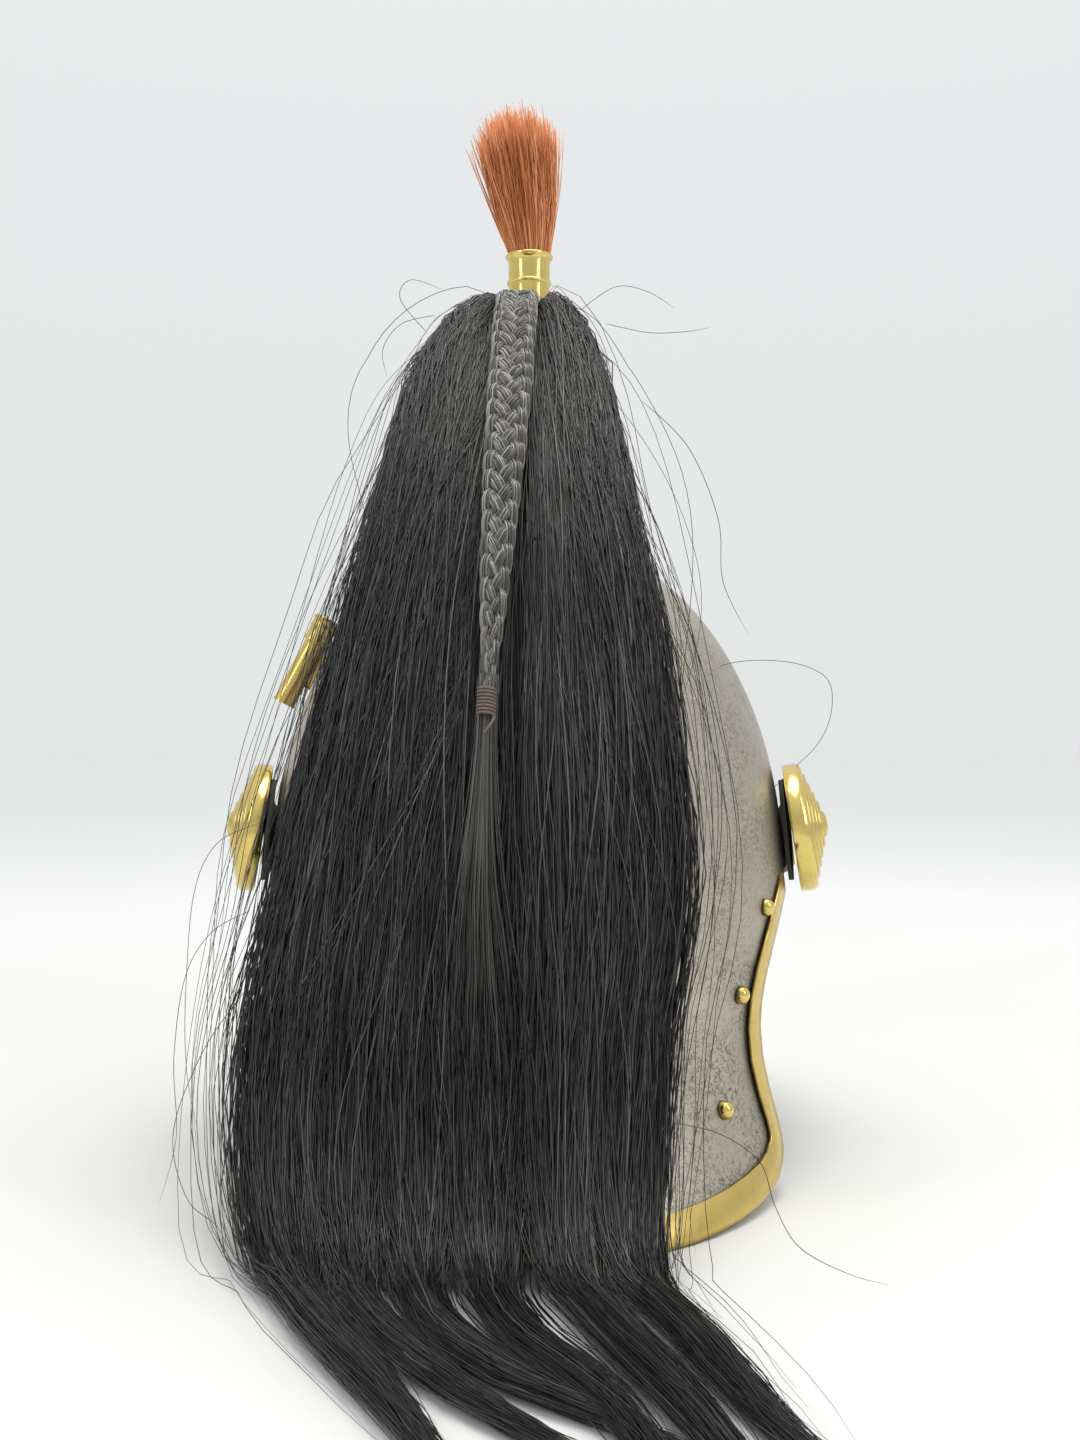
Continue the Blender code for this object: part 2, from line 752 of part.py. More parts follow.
def build_badge(finish, collection):
    """Flaming grenade: a ball with seven tongues of flame fanned above it, in low relief on the band."""
    top_z = smooth(band_rows, "turn", "high", 0.0) * widest_level
    centre_z = top_z - badge_height * 0.55
    foot = shell_point(0.0, centre_z, band_gap + band_metal + seat_gap)
    normal = shell_normal(0.0, centre_z)
    up = (Vector((0.0, 0.0, 1.0)) - normal * normal.z).normalized()
    right = up.cross(normal)
    ball = badge_height * badge_ball_share
    back, middle, front = [], [], []
    for k in range(badge_points):
        spread = math.radians(360.0 * k / badge_points - 180.0)
        out = right * math.sin(spread) + up * math.cos(spread)
        radius = ball
        if abs(math.degrees(spread)) < badge_fan_turn:
            tongue = abs(math.cos(spread * badge_tongues * 90 / badge_fan_turn))
            radius = ball * (1.15 + 1.55 * tongue * math.cos(spread))
        back.append(foot + out * radius)
        middle.append(foot + out * radius * 0.93 + normal * badge_relief * 0.45)
        front.append(foot + out * ball * 0.45 + normal * badge_relief)
    return add_object("grenade_badge", loft("grenade_badge", [back, middle, front]), finish, collection)


def crest_ridge(place):
    """The crest's ridge in side view, at a place along its table from 0 to 1."""
    Numbered = namedtuple("Numbered", "number reach rise base")
    rows = [Numbered(float(i), row.reach, row.rise, row.base) for i, row in enumerate(crest_rows)]
    at = place * (len(rows) - 1)
    reach = smooth(rows, "number", "reach", at)
    ridge_y = skull_middle + reach * (skull_front_reach if reach < 0 else skull_back_reach)
    ridge_z = widest_level + smooth(rows, "number", "rise", at) * (crest_top - widest_level)
    return Vector((0.0, ridge_y, ridge_z)), smooth(rows, "number", "base", at)


def crest_section(place, grow, floor_drop):
    """Half the crest's outline at a place along it, from its foot on the dome to the middle of its ridge."""
    ridge, angle = crest_ridge(place)
    taper = 0.45 + 0.55 * min(1.0, 7 * place, 9 * (1 - place))
    foot_width = crest_base_half_width * taper + grow
    ridge_width = crest_ridge_half_width * taper + grow
    foot = dome_side_point(angle, foot_width)
    foot_middle = dome_side_point(angle, 0.0)
    lobe = abs(math.sin(math.pi * place * gadroon_count)) ** 0.7
    half = []
    upward = (ridge - foot_middle).normalized()
    for row in gadroon_rows:
        spot = foot.lerp(ridge + (foot - foot_middle), row.rise)
        side = foot_width + (ridge_width - foot_width) * row.rise**0.8
        side += gadroon_depth * row.lift * taper * lobe
        half.append(Vector((side, spot.y, spot.z)))
    half.append(Vector((ridge_width * 0.72, ridge.y, ridge.z)) + upward * grow)
    half.append(ridge + upward * grow)
    half[0] -= upward * floor_drop
    return half, foot_middle - upward * floor_drop


def crest_loft(name, first, last, stations, grow, floor_drop):
    """The crest between two places along it, or its hollow with a negative growth and a dropped floor."""
    sections = []
    for k in range(stations + 1):
        half, foot_middle = crest_section(first + (last - first) * k / stations, grow, floor_drop)
        other = [Vector((-p.x, p.y, p.z)) for p in reversed(half[:-1])]
        sections.append(half + other + [foot_middle])
    return loft(name, sections)


def build_crest(finish, collection, cutters):
    """Hollow brass comb along the top of the skull, with gadroons raised on both sides."""
    body = crest_loft("crest", 0.0, 1.0, gadroon_count * gadroon_stations, 0.0, 0.0)
    crest = add_object("crest", body, finish, collection)
    places = crest_hollow_start, crest_hollow_end
    inside = crest_loft("crest_core", *places, gadroon_count, -crest_metal, crest_hollow_overrun)
    core = add_object("crest_core", inside, finish, cutters)
    hide_cutter(core)
    hollow = crest.modifiers.new("Hollow", "BOOLEAN")
    hollow.operation = "DIFFERENCE"
    hollow.object = core
    return crest


def hide_cutter(obj):
    obj.hide_render = True
    obj.display_type = "WIRE"


def sleeve_foot():
    """The place on the crest's ridge where the sleeve stands."""
    y = skull_middle - sleeve_share_forward * skull_front_reach
    places = [crest_ridge(k / 400)[0] for k in range(401)]
    highest = max(p.z for p in places if abs(p.y - y) < sleeve_radius)
    return Vector((0.0, y, highest + seat_gap))


def build_sleeve(finish, collection):
    """Brass cup that stands on the crest and holds the tuft, with a rolled lip."""
    well = sleeve_radius - sleeve_metal
    profile = [
        (0.0, sleeve_floor),
        (well * 0.9, sleeve_floor),
        (well, sleeve_height),
        (sleeve_lip_radius, sleeve_height),
        (sleeve_lip_radius, sleeve_height * 0.94),
        (sleeve_radius, sleeve_height * 0.88),
        (sleeve_radius * 0.96, sleeve_height * 0.72),
        (sleeve_lip_radius * 0.99, sleeve_height * 0.70),
        (sleeve_lip_radius * 0.99, sleeve_height * 0.67),
        (sleeve_radius * 0.93, sleeve_height * 0.63),
        (sleeve_radius * 0.93, sleeve_height * 0.14),
        (sleeve_lip_radius, sleeve_height * 0.10),
        (sleeve_lip_radius, 0.0),
        (0.0, 0.0),
    ]
    obj = turned("tuft_sleeve", profile, 16, finish, collection)
    obj.location = sleeve_foot()
    return obj


def build_tuft(finish, collection):
    """Red brush: locks fanned from a stem in the sleeve, its ends cut unevenly."""
    foot = sleeve_foot()
    well = (sleeve_radius - sleeve_metal) * 0.9 - seat_gap
    lip = foot.z + sleeve_height
    sides = 3 * tuft_locks
    levels = [(foot.z + sleeve_floor + seat_gap, well, 0.0), (lip, well, 0.0)]
    for row in tuft_rows:
        levels.append((lip + tuft_height * row.rise, tuft_top_half_width * row.width, row.rise))
    sections = []
    for z, radius, share in levels:
        ring = []
        for k in range(sides):
            angle = 2 * math.pi * k / sides
            wave = math.cos(tuft_locks * angle)
            out = radius * (1 + 0.07 * share * wave)
            lift = 0.0026 * share * share * (wave + math.cos(3 * angle + 0.6))
            x = out * math.cos(angle) + tuft_lean * share * share
            ring.append(Vector((x, foot.y + out * 0.92 * math.sin(angle), z + lift)))
        sections.append(ring)
    return add_object("tuft", loft("tuft", sections), finish, collection)


def build_rosette(side, name, finish, collection):
    """Stepped brass boss with a hollow back and a stud, over the end of the chin strap."""
    r, h = rosette_radius, rosette_height
    stud_foot = strap_rows[1].stand + strap_leather + seat_gap - rosette_standoff
    profile = [
        (0.0, h),
        (r * 0.17, h * 0.97),
        (r * 0.24, h * 0.84),
        (r * 0.40, h * 0.82),
        (r * 0.48, h * 0.68),
        (r * 0.60, h * 0.66),
        (r * 0.68, h * 0.52),
        (r * 0.80, h * 0.49),
        (r * 0.88, h * 0.37),
        (r * 0.97, rosette_rim),
        (r, rosette_rim * 0.88),
        (r, 0.0),
        (r * 0.955, 0.0),
        (r * 0.90, rosette_rim * 0.55),
        (r * 0.17, h * 0.50),
        (r * 0.17, stud_foot),
        (0.0, stud_foot),
    ]
    obj = turned(name, profile, 20, finish, collection)
    turn = rosette_turn * side
    normal = shell_normal(turn, rosette_level)
    axis = Matrix.Rotation(-math.radians(rosette_tilt) * side, 3, "Y") @ normal
    standing_on(obj, shell_point(turn, rosette_level, rosette_standoff), axis, Vector((0.0, 0.0, -1.0)))
    return obj


def strap_spot(turn, side):
    """Middle of the strap at a turn: the turn, the height and the stand-off of its inner face."""
    rows = list(reversed(strap_rows))
    z = smooth(rows, "turn", "height", turn) * widest_level
    return turn * side, z, smooth(rows, "turn", "stand", turn)


def strap_across(turn, side):
    """The way across the strap, upwards."""
    at, z, _ = strap_spot(turn, side)
    before = bare_shell_point(*strap_spot(turn - 0.5, side)[:2])
    after = bare_shell_point(*strap_spot(turn + 0.5, side)[:2])
    across = shell_normal(at, z).cross(before - after).normalized()
    return across if across.z > 0 else -across


def strap_station(turn, side, half_width, low, high):
    """A section across the strap between two heights over its inner face, bent to the skull."""
    at, z, stand = strap_spot(turn, side)
    middle = bare_shell_point(at, z)
    across = strap_across(turn, side)
    outer, inner = [], []
    for share in (-1.0, 0.0, 1.0):
        spot = middle + across * half_width * share
        where = turn_of(spot)
        normal = shell_normal(where, spot.z)
        base = bare_shell_point(where, spot.z)
        outer.append(base + normal * (stand + high))
        inner.append(base + normal * (stand + low))
    return outer + inner[::-1]


def strap_turns():
    """Turns of the strap from its clasp to behind the rosette."""
    first, last = clasp_turn(), strap_rows[0].turn
    return [first + (last - first) * k / (strap_stations - 1) for k in range(strap_stations)]


def clasp_turn():
    return math.degrees(clasp_half_length / skull_front_reach)


def strap_width_at(turn):
    """The strap's half width, which grows from the brow to the rosette."""
    taper = min(turn / rosette_turn, 1.0)
    return strap_end_half_width + (strap_half_width - strap_end_half_width) * taper


def build_strap(side, name, finish, collection):
    """Leather of the chin strap, with a round end under the rosette."""
    centre = bare_shell_point(*strap_spot(rosette_turn, 1)[:2])
    sections = []
    for turn in strap_turns():
        width = strap_width_at(turn)
        spot = bare_shell_point(*strap_spot(turn, 1)[:2])
        away = (spot - centre).length
        if away < strap_end_radius:
            round_width = math.sqrt(strap_end_radius**2 - away**2)
            width = max(round_width, width if turn < rosette_turn else strap_tip_half_width)
        elif turn > rosette_turn:
            width = strap_tip_half_width
        sections.append(strap_station(turn, side, width, 0.0, strap_leather))
    return add_object(name, loft(name, sections), finish, collection)


def build_scales(side, name, finish, collection):
    """Overlapping brass scales along the strap, each highest at its free end."""
    first, last = clasp_turn() + 1.0, rosette_turn - scale_clear_turn
    low = strap_leather + seat_gap
    sections = []
    for k in range(scale_count):
        start = first + (last - first) * k / scale_count
        end = first + (last - first) * (k + 1) / scale_count
        for row in scale_rows:
            turn = start + (end - start) * row.place
            high = low + scale_metal + scale_lift * row.lift
            sections.append(strap_station(turn, side, strap_width_at(turn) * row.width, low, high))
    return add_object(name, loft(name, sections), finish, collection)


def build_clasp(finish, collection):
    """Plain brass keeper over the middle of the brow, round both ends of the chin strap."""
    high = strap_leather + scale_metal + scale_lift + seat_gap * 2
    sections = []
    for turn in fan(clasp_turn() - 0.4, 7):
        side = 1 if turn >= 0 else -1
        sections.append(strap_station(abs(turn), side, strap_end_half_width * 1.12, 0.0, high))
    return add_object("chin_clasp", loft("chin_clasp", sections), finish, collection)


def build_plume_socket(finish, collection, cutters):
    """Open brass tube beside the skull, above the left rosette, on a soldered foot."""
    turn = socket_turn
    place = shell_point(turn, socket_level, socket_standoff)
    normal = shell_normal(turn, socket_level)
    upward = Vector((0.0, 0.0, 1.0))
    axis = (upward - normal * upward.dot(normal)).normalized()
    bottom = place - axis * socket_length / 2
    collar = socket_length - socket_collar_length
    profile = [
        (0.0, socket_floor),
        (socket_bore, socket_floor),
        (socket_bore, socket_length),
        (socket_collar_radius, socket_length),
        (socket_collar_radius, socket_length - 0.0012),
        (socket_collar_radius * 0.93, socket_length - 0.0020),
        (socket_collar_radius * 0.90, collar + 0.0020),
        (socket_collar_radius * 0.96, collar + 0.0012),
        (socket_radius, collar - 0.0008),
        (socket_radius, 0.0006),
        (socket_radius * 1.08, 0.0),
        (0.0, 0.0),
    ]
    tube = turned("plume_socket", profile, 14, finish, collection)
    standing_on(tube, bottom, axis, normal)
    foot_points = []
    for k in range(5):
        reach = (k / 4 - 0.5) * socket_length * socket_foot_share
        level = socket_level + reach * axis.z
        ring = []
        for across in (-1.0, -0.33, 0.33, 1.0):
            spot = place + axis * reach + axis.cross(normal) * across * socket_foot_half_width
            where = turn_of(spot)
            ring.append(shell_point(where, level, seat_gap))
        lift = socket_standoff - socket_radius * 0.75
        ring += [p + normal * (lift - seat_gap) for p in (ring[2], ring[1])]
        foot_points.append(ring)
    foot = add_object("socket_foot", loft("socket_foot", foot_points), finish, cutters)
    hide_cutter(foot)
    join = tube.modifiers.new("Solder", "BOOLEAN")
    join.operation = "UNION"
    join.object = foot
    return tube


def build_rivets(finish, collection):
    """Round-headed rivets down each side of the neck guard."""
    profile = [
        (0.0, rivet_height),
        (rivet_radius * 0.55, rivet_height * 0.86),
        (rivet_radius * 0.92, rivet_height * 0.45),
        (rivet_radius, 0.0),
        (0.0, 0.0),
    ]
    shared = None
    for number, row in enumerate(rivet_rows, 1):
        for side, word in ((1, "left"), (-1, "right")):
            name = f"rivet_{word}_{number}"
            z = row.height * widest_level
            if shared is None:
                rivet = shared = turned(name, profile, 8, finish, collection)
            else:
                rivet = shared.copy()
                rivet.name = name
                collection.objects.link(rivet)
            normal = shell_normal(row.turn * side, z)
            place = shell_point(row.turn * side, z, seat_gap)
            standing_on(rivet, place, normal, Vector((0.0, 0.0, -1.0)))


def mane_at(along):
    """The mane's row at a place along it, from 0 behind the sleeve to 1 on the table."""
    Numbered = namedtuple("Numbered", ("number",) + ManeRow._fields)
    rows = [Numbered(float(i), *row) for i, row in enumerate(mane_rows)]
    at = along * (len(rows) - 1)
    return ManeRow(*(smooth(rows, "number", field, at) for field in ManeRow._fields))


def mane_frame(row):
    """Outer middle of a section and the way out from it."""
    middle = Vector((0.0, skull_middle + row.reach * skull_back_reach, row.height * skull_top))
    lean = math.radians(row.tilt)
    return middle, Vector((0.0, math.cos(lean), math.sin(lean)))


def plait_across(along):
    return smooth(plait_rows, "along", "across", along) * skull_half_breadth


def mane_surface(along, x):
    """A point of the mane's outer side: its locks, and the groove in which the plait lies."""
    row = mane_at(along)
    middle, out = mane_frame(row)
    edge = (row.left if x > 0 else row.right) * skull_half_breadth
    drop = (row.left_drop if x > 0 else row.right_drop) * skull_half_breadth
    share = min(abs(x / edge), 1.0)
    swell = row.swell * skull_half_breadth * math.sin(math.pi * min(share * 1.15, 1.0)) ** 0.7
    lobe = mane_lobe_height * abs(math.sin(math.pi * mane_lobes * share / 2)) * (1 - share**4)
    groove = groove_depth * math.exp(-(((x - plait_across(along)) / groove_half_width) ** 2))
    groove *= min(1.0, along / plait_rows[0].along, max(0.0, 1 - 6 * (along - plait_rows[-1].along)))
    return middle + Vector((x, 0.0, 0.0)) + out * (swell + lobe - groove - drop * share**2.2)


@functools.cache
def ridge_points():
    return [crest_ridge(k / 200)[0] for k in range(201)]


def mane_inside(along, x, outer):
    """The point of the mane's inner side under an outer one, clear of the crest, the skull and the table."""
    row = mane_at(along)
    _, out = mane_frame(row)
    edge = (row.left if x > 0 else row.right) * skull_half_breadth
    share = min(abs(x / edge), 1.0)
    thick = row.thick * skull_half_breadth * (1 - 0.75 * share**3)
    point = outer - out * thick
    ridge = min(ridge_points(), key=lambda p: (p - Vector((0.0, point.y, point.z))).length)
    beside = abs(x) < crest_ridge_half_width + gadroon_depth + mane_ridge_margin
    if beside and point.z > ridge_points()[-1].z - 3 * mane_ridge_margin:
        point += out * max(0.0, mane_gap - Vector((0.0, point.y - ridge.y, point.z - ridge.z)).dot(out))
    return clear_of_shell(point, mane_gap + seat_gap + edging_metal)


def mane_body():
    """One body from behind the sleeve to the table, wrapped round the crest's tail and the skull's back."""
    sections = []
    for k in range(mane_stations + 1):
        along = k / mane_stations
        row = mane_at(along)
        left, right = row.left * skull_half_breadth, row.right * skull_half_breadth
        outer_x = [right + (left - right) * j / mane_columns for j in range(mane_columns + 1)]
        outer = [mane_surface(along, x) for x in outer_x]
        inner = [mane_inside(along, x, mane_surface(along, x)) for x in outer_x[-2:0:-1]]
        ring = outer + inner
        for p in ring:
            p.z = max(p.z, floor_gap)
        sections.append(ring)
    return loft("mane", sections)


def end_mesh(row):
    """A loose end on the table: it leaves the mane at full width and is drawn out to a thin tip."""
    places = [(row.x1, row.y1), (row.x2, row.y2), (row.x3, row.y3), (row.x4, row.y4)]
    level = floor_gap + lock_half_thickness
    spots = [Vector((x * skull_half_breadth, skull_middle + y * skull_back_reach, level)) for x, y in places]
    path = evenly(curve_through(spots, 8), lock_stations + 1)
    sections = []
    for i, p in enumerate(path):
        along = (path[min(i + 1, lock_stations)] - path[max(i - 1, 0)]).normalized()
        share = i / lock_stations
        slim = min(1.0, 0.16 + 1.5 * (1 - share)) * (1 - 0.12 * share)
        across = Vector((0.0, 0.0, 1.0)).cross(along) * lock_half_width * row.width * slim
        thick = lock_half_thickness * (0.35 + 0.65 * slim)
        ring = []
        for k in range(2 * end_half_sides):
            angle = math.pi * (k + 0.5) / end_half_sides
            spot = p + across * math.cos(angle)
            spot.z = floor_gap * 2 + thick * (1 + math.sin(angle))
            ring.append(spot)
        sections.append(ring)
    return loft("loose_end", sections)


def build_mane(finish, collection, cutters):
    """The mane's body with its loose ends joined to it."""
    mane = add_object("mane", mane_body(), finish, collection, 60.0)
    ends = bpy.data.collections.new("loose_ends")
    cutters.children.link(ends)
    for number, row in enumerate(end_rows, 1):
        hide_cutter(add_object(f"loose_end_{number}", end_mesh(row), finish, ends))
    join = mane.modifiers.new("Loose ends", "BOOLEAN")
    join.operation = "UNION"
    join.operand_type = "COLLECTION"
    join.collection = ends
    join.solver = "MANIFOLD"
    return mane


def plait_path(count):
    """Points along the bottom of the groove with the way out from each, as (point, out, half width)."""
    found = []
    first, last = plait_rows[0].along, plait_rows[-1].along
    for k in range(count):
        along = first + (last - first) * k / (count - 1)
        x = plait_across(along)
        _, out = mane_frame(mane_at(along))
        half = plait_half_width * smooth(plait_rows, "along", "half_width", along)
        found.append((mane_surface(along, x), out, half))
    return found


def build_plait(finish, collection):
    """Flat plait in the mane's groove: each crossing swells first to one side and then to the other."""
    path = plait_path(plait_crossings * 3 + 1)
    sections = []
    for i, (spot, out, half) in enumerate(path):
        phase = 2 * math.pi * i / 6
        thick = plait_half_thickness * (0.45 + 0.55 * half / plait_half_width)
        centre = spot + out * (mane_gap * 1.5 + mane_lobe_height + thick)
        ring = []
        for k in range(2 * plait_half_sides):
            angle = math.pi * (k + 0.5) / plait_half_sides
            bump = 1 + 0.16 * math.sin(phase) * math.cos(angle) + 0.10 * math.cos(phase * 2)
            beside = Vector((half * math.cos(angle) * bump, 0.0, 0.0))
            ring.append(centre + beside + out * thick * math.sin(angle))
        sections.append(ring)
    return add_object("plait", loft("plait", sections), finish, collection)


def build_tie(finish, collection):
    """Thread wound round the end of the plait, as one ribbed collar below it."""
    spot, out, _ = plait_path(3)[-1]
    before, _, _ = plait_path(30)[-2]
    down = (spot - before).normalized()
    centre = spot + out * (mane_gap * 1.5 + mane_lobe_height + tie_radius) + down * 1.4 * seat_gap
    profile = [(0.0, tie_length), (tie_radius * 0.8, tie_length)]
    turns = 4
    for k in range(turns):
        high = tie_length * (1 - k / turns)
        profile += [(tie_radius, high - tie_length * 0.05), (tie_radius * 0.9, high - tie_length * 0.16)]
    profile += [(tie_radius * 0.8, 0.0), (0.0, 0.0)]
    obj = turned("plait_tie", profile, 9, finish, collection)
    standing_on(obj, centre + down * tie_length, -down, out)
    return obj


def main():
    clear_scene()
    helmet = bpy.data.collections.new("cuirassier_helmet")
    cutters = bpy.data.collections.new("cutters")
    bpy.context.scene.collection.children.link(helmet)
    bpy.context.scene.collection.children.link(cutters)
    steel_finish = make_material("steel", (0.36, 0.33, 0.29), 0.42, 0.9)
    brass_finish = make_material("brass", (0.72, 0.52, 0.20), 0.28, 1.0)
    hair_finish = make_material("black_horsehair", (0.022, 0.022, 0.025), 0.5, 0.0)
    red_finish = make_material("red_horsehair", (0.42, 0.12, 0.05), 0.7, 0.0)
    plait_finish = make_material("grey_horsehair", (0.16, 0.155, 0.15), 0.5, 0.0)
    thread_finish = make_material("brown_thread", (0.10, 0.04, 0.03), 0.8, 0.0)
    leather_finish = make_material("black_leather", (0.015, 0.014, 0.013), 0.55, 0.0)

    build_skull(steel_finish, helmet, cutters)
    build_neck_edging(brass_finish, helmet)
    build_peak(steel_finish, helmet)
    build_peak_edging(brass_finish, helmet)
    build_band(brass_finish, helmet)
    build_badge(brass_finish, helmet)
    build_crest(brass_finish, helmet, cutters)
    build_sleeve(brass_finish, helmet)
    build_tuft(red_finish, helmet)
    for side, word in ((1, "left"), (-1, "right")):
        build_rosette(side, f"rosette_{word}", brass_finish, helmet)
        build_strap(side, f"chin_leather_{word}", leather_finish, helmet)
        build_scales(side, f"chin_scales_{word}", brass_finish, helmet)
    build_clasp(brass_finish, helmet)
    build_plume_socket(brass_finish, helmet, cutters)
    build_rivets(brass_finish, helmet)
    build_mane(hair_finish, helmet, cutters)
    build_plait(plait_finish, helmet)
    build_tie(thread_finish, helmet)


main()
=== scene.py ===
import math

import bmesh
import bpy
import numpy as np
from mathutils import Matrix, Vector


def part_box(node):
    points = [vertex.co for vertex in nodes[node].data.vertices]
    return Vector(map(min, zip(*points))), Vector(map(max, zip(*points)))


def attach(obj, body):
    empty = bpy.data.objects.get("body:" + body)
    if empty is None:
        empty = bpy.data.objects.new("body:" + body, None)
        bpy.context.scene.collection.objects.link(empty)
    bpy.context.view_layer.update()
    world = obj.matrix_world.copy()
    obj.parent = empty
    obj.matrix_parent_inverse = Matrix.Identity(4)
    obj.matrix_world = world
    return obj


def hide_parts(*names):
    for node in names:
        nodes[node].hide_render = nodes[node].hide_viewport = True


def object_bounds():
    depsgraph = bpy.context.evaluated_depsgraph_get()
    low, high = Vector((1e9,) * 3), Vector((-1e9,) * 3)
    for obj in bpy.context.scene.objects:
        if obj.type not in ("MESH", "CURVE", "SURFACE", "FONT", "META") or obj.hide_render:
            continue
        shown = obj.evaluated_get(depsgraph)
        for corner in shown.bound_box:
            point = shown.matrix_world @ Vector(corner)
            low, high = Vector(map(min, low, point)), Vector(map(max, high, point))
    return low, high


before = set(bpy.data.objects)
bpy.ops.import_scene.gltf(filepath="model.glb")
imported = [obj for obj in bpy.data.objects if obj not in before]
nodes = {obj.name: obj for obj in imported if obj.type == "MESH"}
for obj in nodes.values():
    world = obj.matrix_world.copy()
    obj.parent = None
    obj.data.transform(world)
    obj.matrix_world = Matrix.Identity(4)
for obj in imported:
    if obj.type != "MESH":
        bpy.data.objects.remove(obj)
cadLow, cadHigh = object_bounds()
print("frame loaded:", len(nodes), "solids")


# Small tools

def linear(hexText):
    # an sRGB hex colour as linear RGBA
    values = []
    for i in (0, 2, 4):
        c = int(hexText[i:i + 2], 16) / 255
        values.append(c / 12.92 if c <= 0.04045 else ((c + 0.055) / 1.055) ** 2.4)
    return (*values, 1.0)


def addNode(tree, kind, settings=None, links=None):
    # a shader node with its settings, and what is plugged into it
    node = tree.nodes.new("ShaderNode" + kind)
    for key, value in (settings or {}).items():
        if isinstance(key, int) or key not in node.bl_rna.properties:
            node.inputs[key].default_value = value
        else:
            setattr(node, key, value)
    for key, socket in (links or {}).items():
        tree.links.new(socket, node.inputs[key])
    return node


def newMaterial(name):
    # an empty material, its node tree, and places in metres on the object
    made = bpy.data.materials.new(name)
    made.use_nodes = True
    tree = made.node_tree
    return made, tree, addNode(tree, "TexCoord").outputs["Object"]


def rampStops(node, stops):
    # sets a colour ramp's stops from (place, colour) pairs
    ramp = node.color_ramp
    while len(ramp.elements) > 1:
        ramp.elements.remove(ramp.elements[-1])
    ramp.elements[0].position = stops[0][0]
    ramp.elements[0].color = stops[0][1]
    for place, colour in stops[1:]:
        ramp.elements.new(place).color = colour
    return node


def grey(value):
    return (value, value, value, 1.0)


def noise(tree, place, scale, detail, **more):
    # a noise pattern's value
    return addNode(tree, "TexNoise", {"Scale": scale, "Detail": detail, **more}, {"Vector": place}).outputs["Fac"]


def stretched(tree, place, scale):
    return addNode(tree, "Mapping", {"Scale": scale}, {"Vector": place}).outputs["Vector"]


def ramp(tree, value, stops):
    return rampStops(addNode(tree, "ValToRGB", None, {"Fac": value}), stops).outputs["Color"]


def spread(tree, value, low, high, start=0.0, end=1.0):
    # a value that runs from low to high while another runs from start to end
    settings = {"From Min": start, "From Max": end, "To Min": low, "To Max": high}
    return addNode(tree, "MapRange", settings, {"Value": value}).outputs["Result"]


def mixed(tree, amount, first, second):
    # one colour over another; each is a fixed colour or comes from a socket
    settings, links = {"data_type": "RGBA"}, {0: amount}
    for socket, colour in ((6, first), (7, second)):
        (settings if isinstance(colour, tuple) else links)[socket] = colour
    return addNode(tree, "Mix", settings, links).outputs[2]


def reckoned(tree, operation, first, second):
    # arithmetic on a socket and either another socket or a number
    if isinstance(second, float):
        return addNode(tree, "Math", {"operation": operation, 1: second}, {0: first}).outputs[0]
    return addNode(tree, "Math", {"operation": operation}, {0: first, 1: second}).outputs[0]


def bumped(tree, height, strength, distance, over=None, invert=False):
    # surface relief from a pattern, over other relief if given
    links = {"Height": height}
    if over is not None:
        links["Normal"] = over
    settings = {"Strength": strength, "Distance": distance, "invert": invert}
    return addNode(tree, "Bump", settings, links).outputs["Normal"]


def finished(made, colour, relief=None, roughness=0.5, **fixed):
    # joins a material's parts: sockets are linked, and plain numbers are set on the shader itself
    tree = made.node_tree
    shader = tree.nodes["Principled BSDF"]
    tree.links.new(colour, shader.inputs["Base Color"])
    if relief is not None:
        tree.links.new(relief, shader.inputs["Normal"])
    if isinstance(roughness, float):
        shader.inputs["Roughness"].default_value = roughness
    else:
        tree.links.new(roughness, shader.inputs["Roughness"])
    for name, value in fixed.items():
        shader.inputs[name].default_value = value
    return made


def smoothStep(t):
    t = np.clip(t, 0.0, 1.0)
    return t * t * (3 - 2 * t)


def curveThroughRows(keys, values, at):
    # the same smooth curve through a table's rows as the solids have
    keys = np.asarray(keys, float)
    values = np.asarray(values, float)
    at = np.clip(np.asarray(at, float), keys[0], keys[-1])
    i = np.clip(np.searchsorted(keys, at, side="right") - 1, 0, len(keys) - 2)
    before = np.maximum(np.arange(len(keys)) - 1, 0)
    after = np.minimum(np.arange(len(keys)) + 1, len(keys) - 1)
    slope = (values[after] - values[before]) / (keys[after] - keys[before])
    span = keys[i + 1] - keys[i]
    t = (at - keys[i]) / span
    lower = (2 * t**3 - 3 * t**2 + 1) * values[i] + (t**3 - 2 * t**2 + t) * span * slope[i]
    return lower + (3 * t**2 - 2 * t**3) * values[i + 1] + (t**3 - t**2) * span * slope[i + 1]


def unit(vectors):
    return vectors / np.maximum(np.linalg.norm(vectors, axis=-1, keepdims=True), 1e-12)


def meshFromArrays(name, points, quads, triangles=None):
    # a mesh from number arrays, which is quick with many hairs
    mesh = bpy.data.meshes.new(name)
    loops = [np.asarray(quads, np.int32).ravel()]
    sizes = [np.full(len(quads), 4, np.int32)]
    if triangles is not None and len(triangles):
        loops.append(np.asarray(triangles, np.int32).ravel())
        sizes.append(np.full(len(triangles), 3, np.int32))
    loops = np.concatenate(loops)
    sizes = np.concatenate(sizes)
    mesh.vertices.add(len(points))
    mesh.vertices.foreach_set("co", np.asarray(points, np.float32).ravel())
    mesh.loops.add(len(loops))
    mesh.loops.foreach_set("vertex_index", loops)
    mesh.polygons.add(len(sizes))
    mesh.polygons.foreach_set("loop_start", np.concatenate([[0], np.cumsum(sizes)[:-1]]).astype(np.int32))
    mesh.update(calc_edges=True)
    mesh.validate()
    return mesh


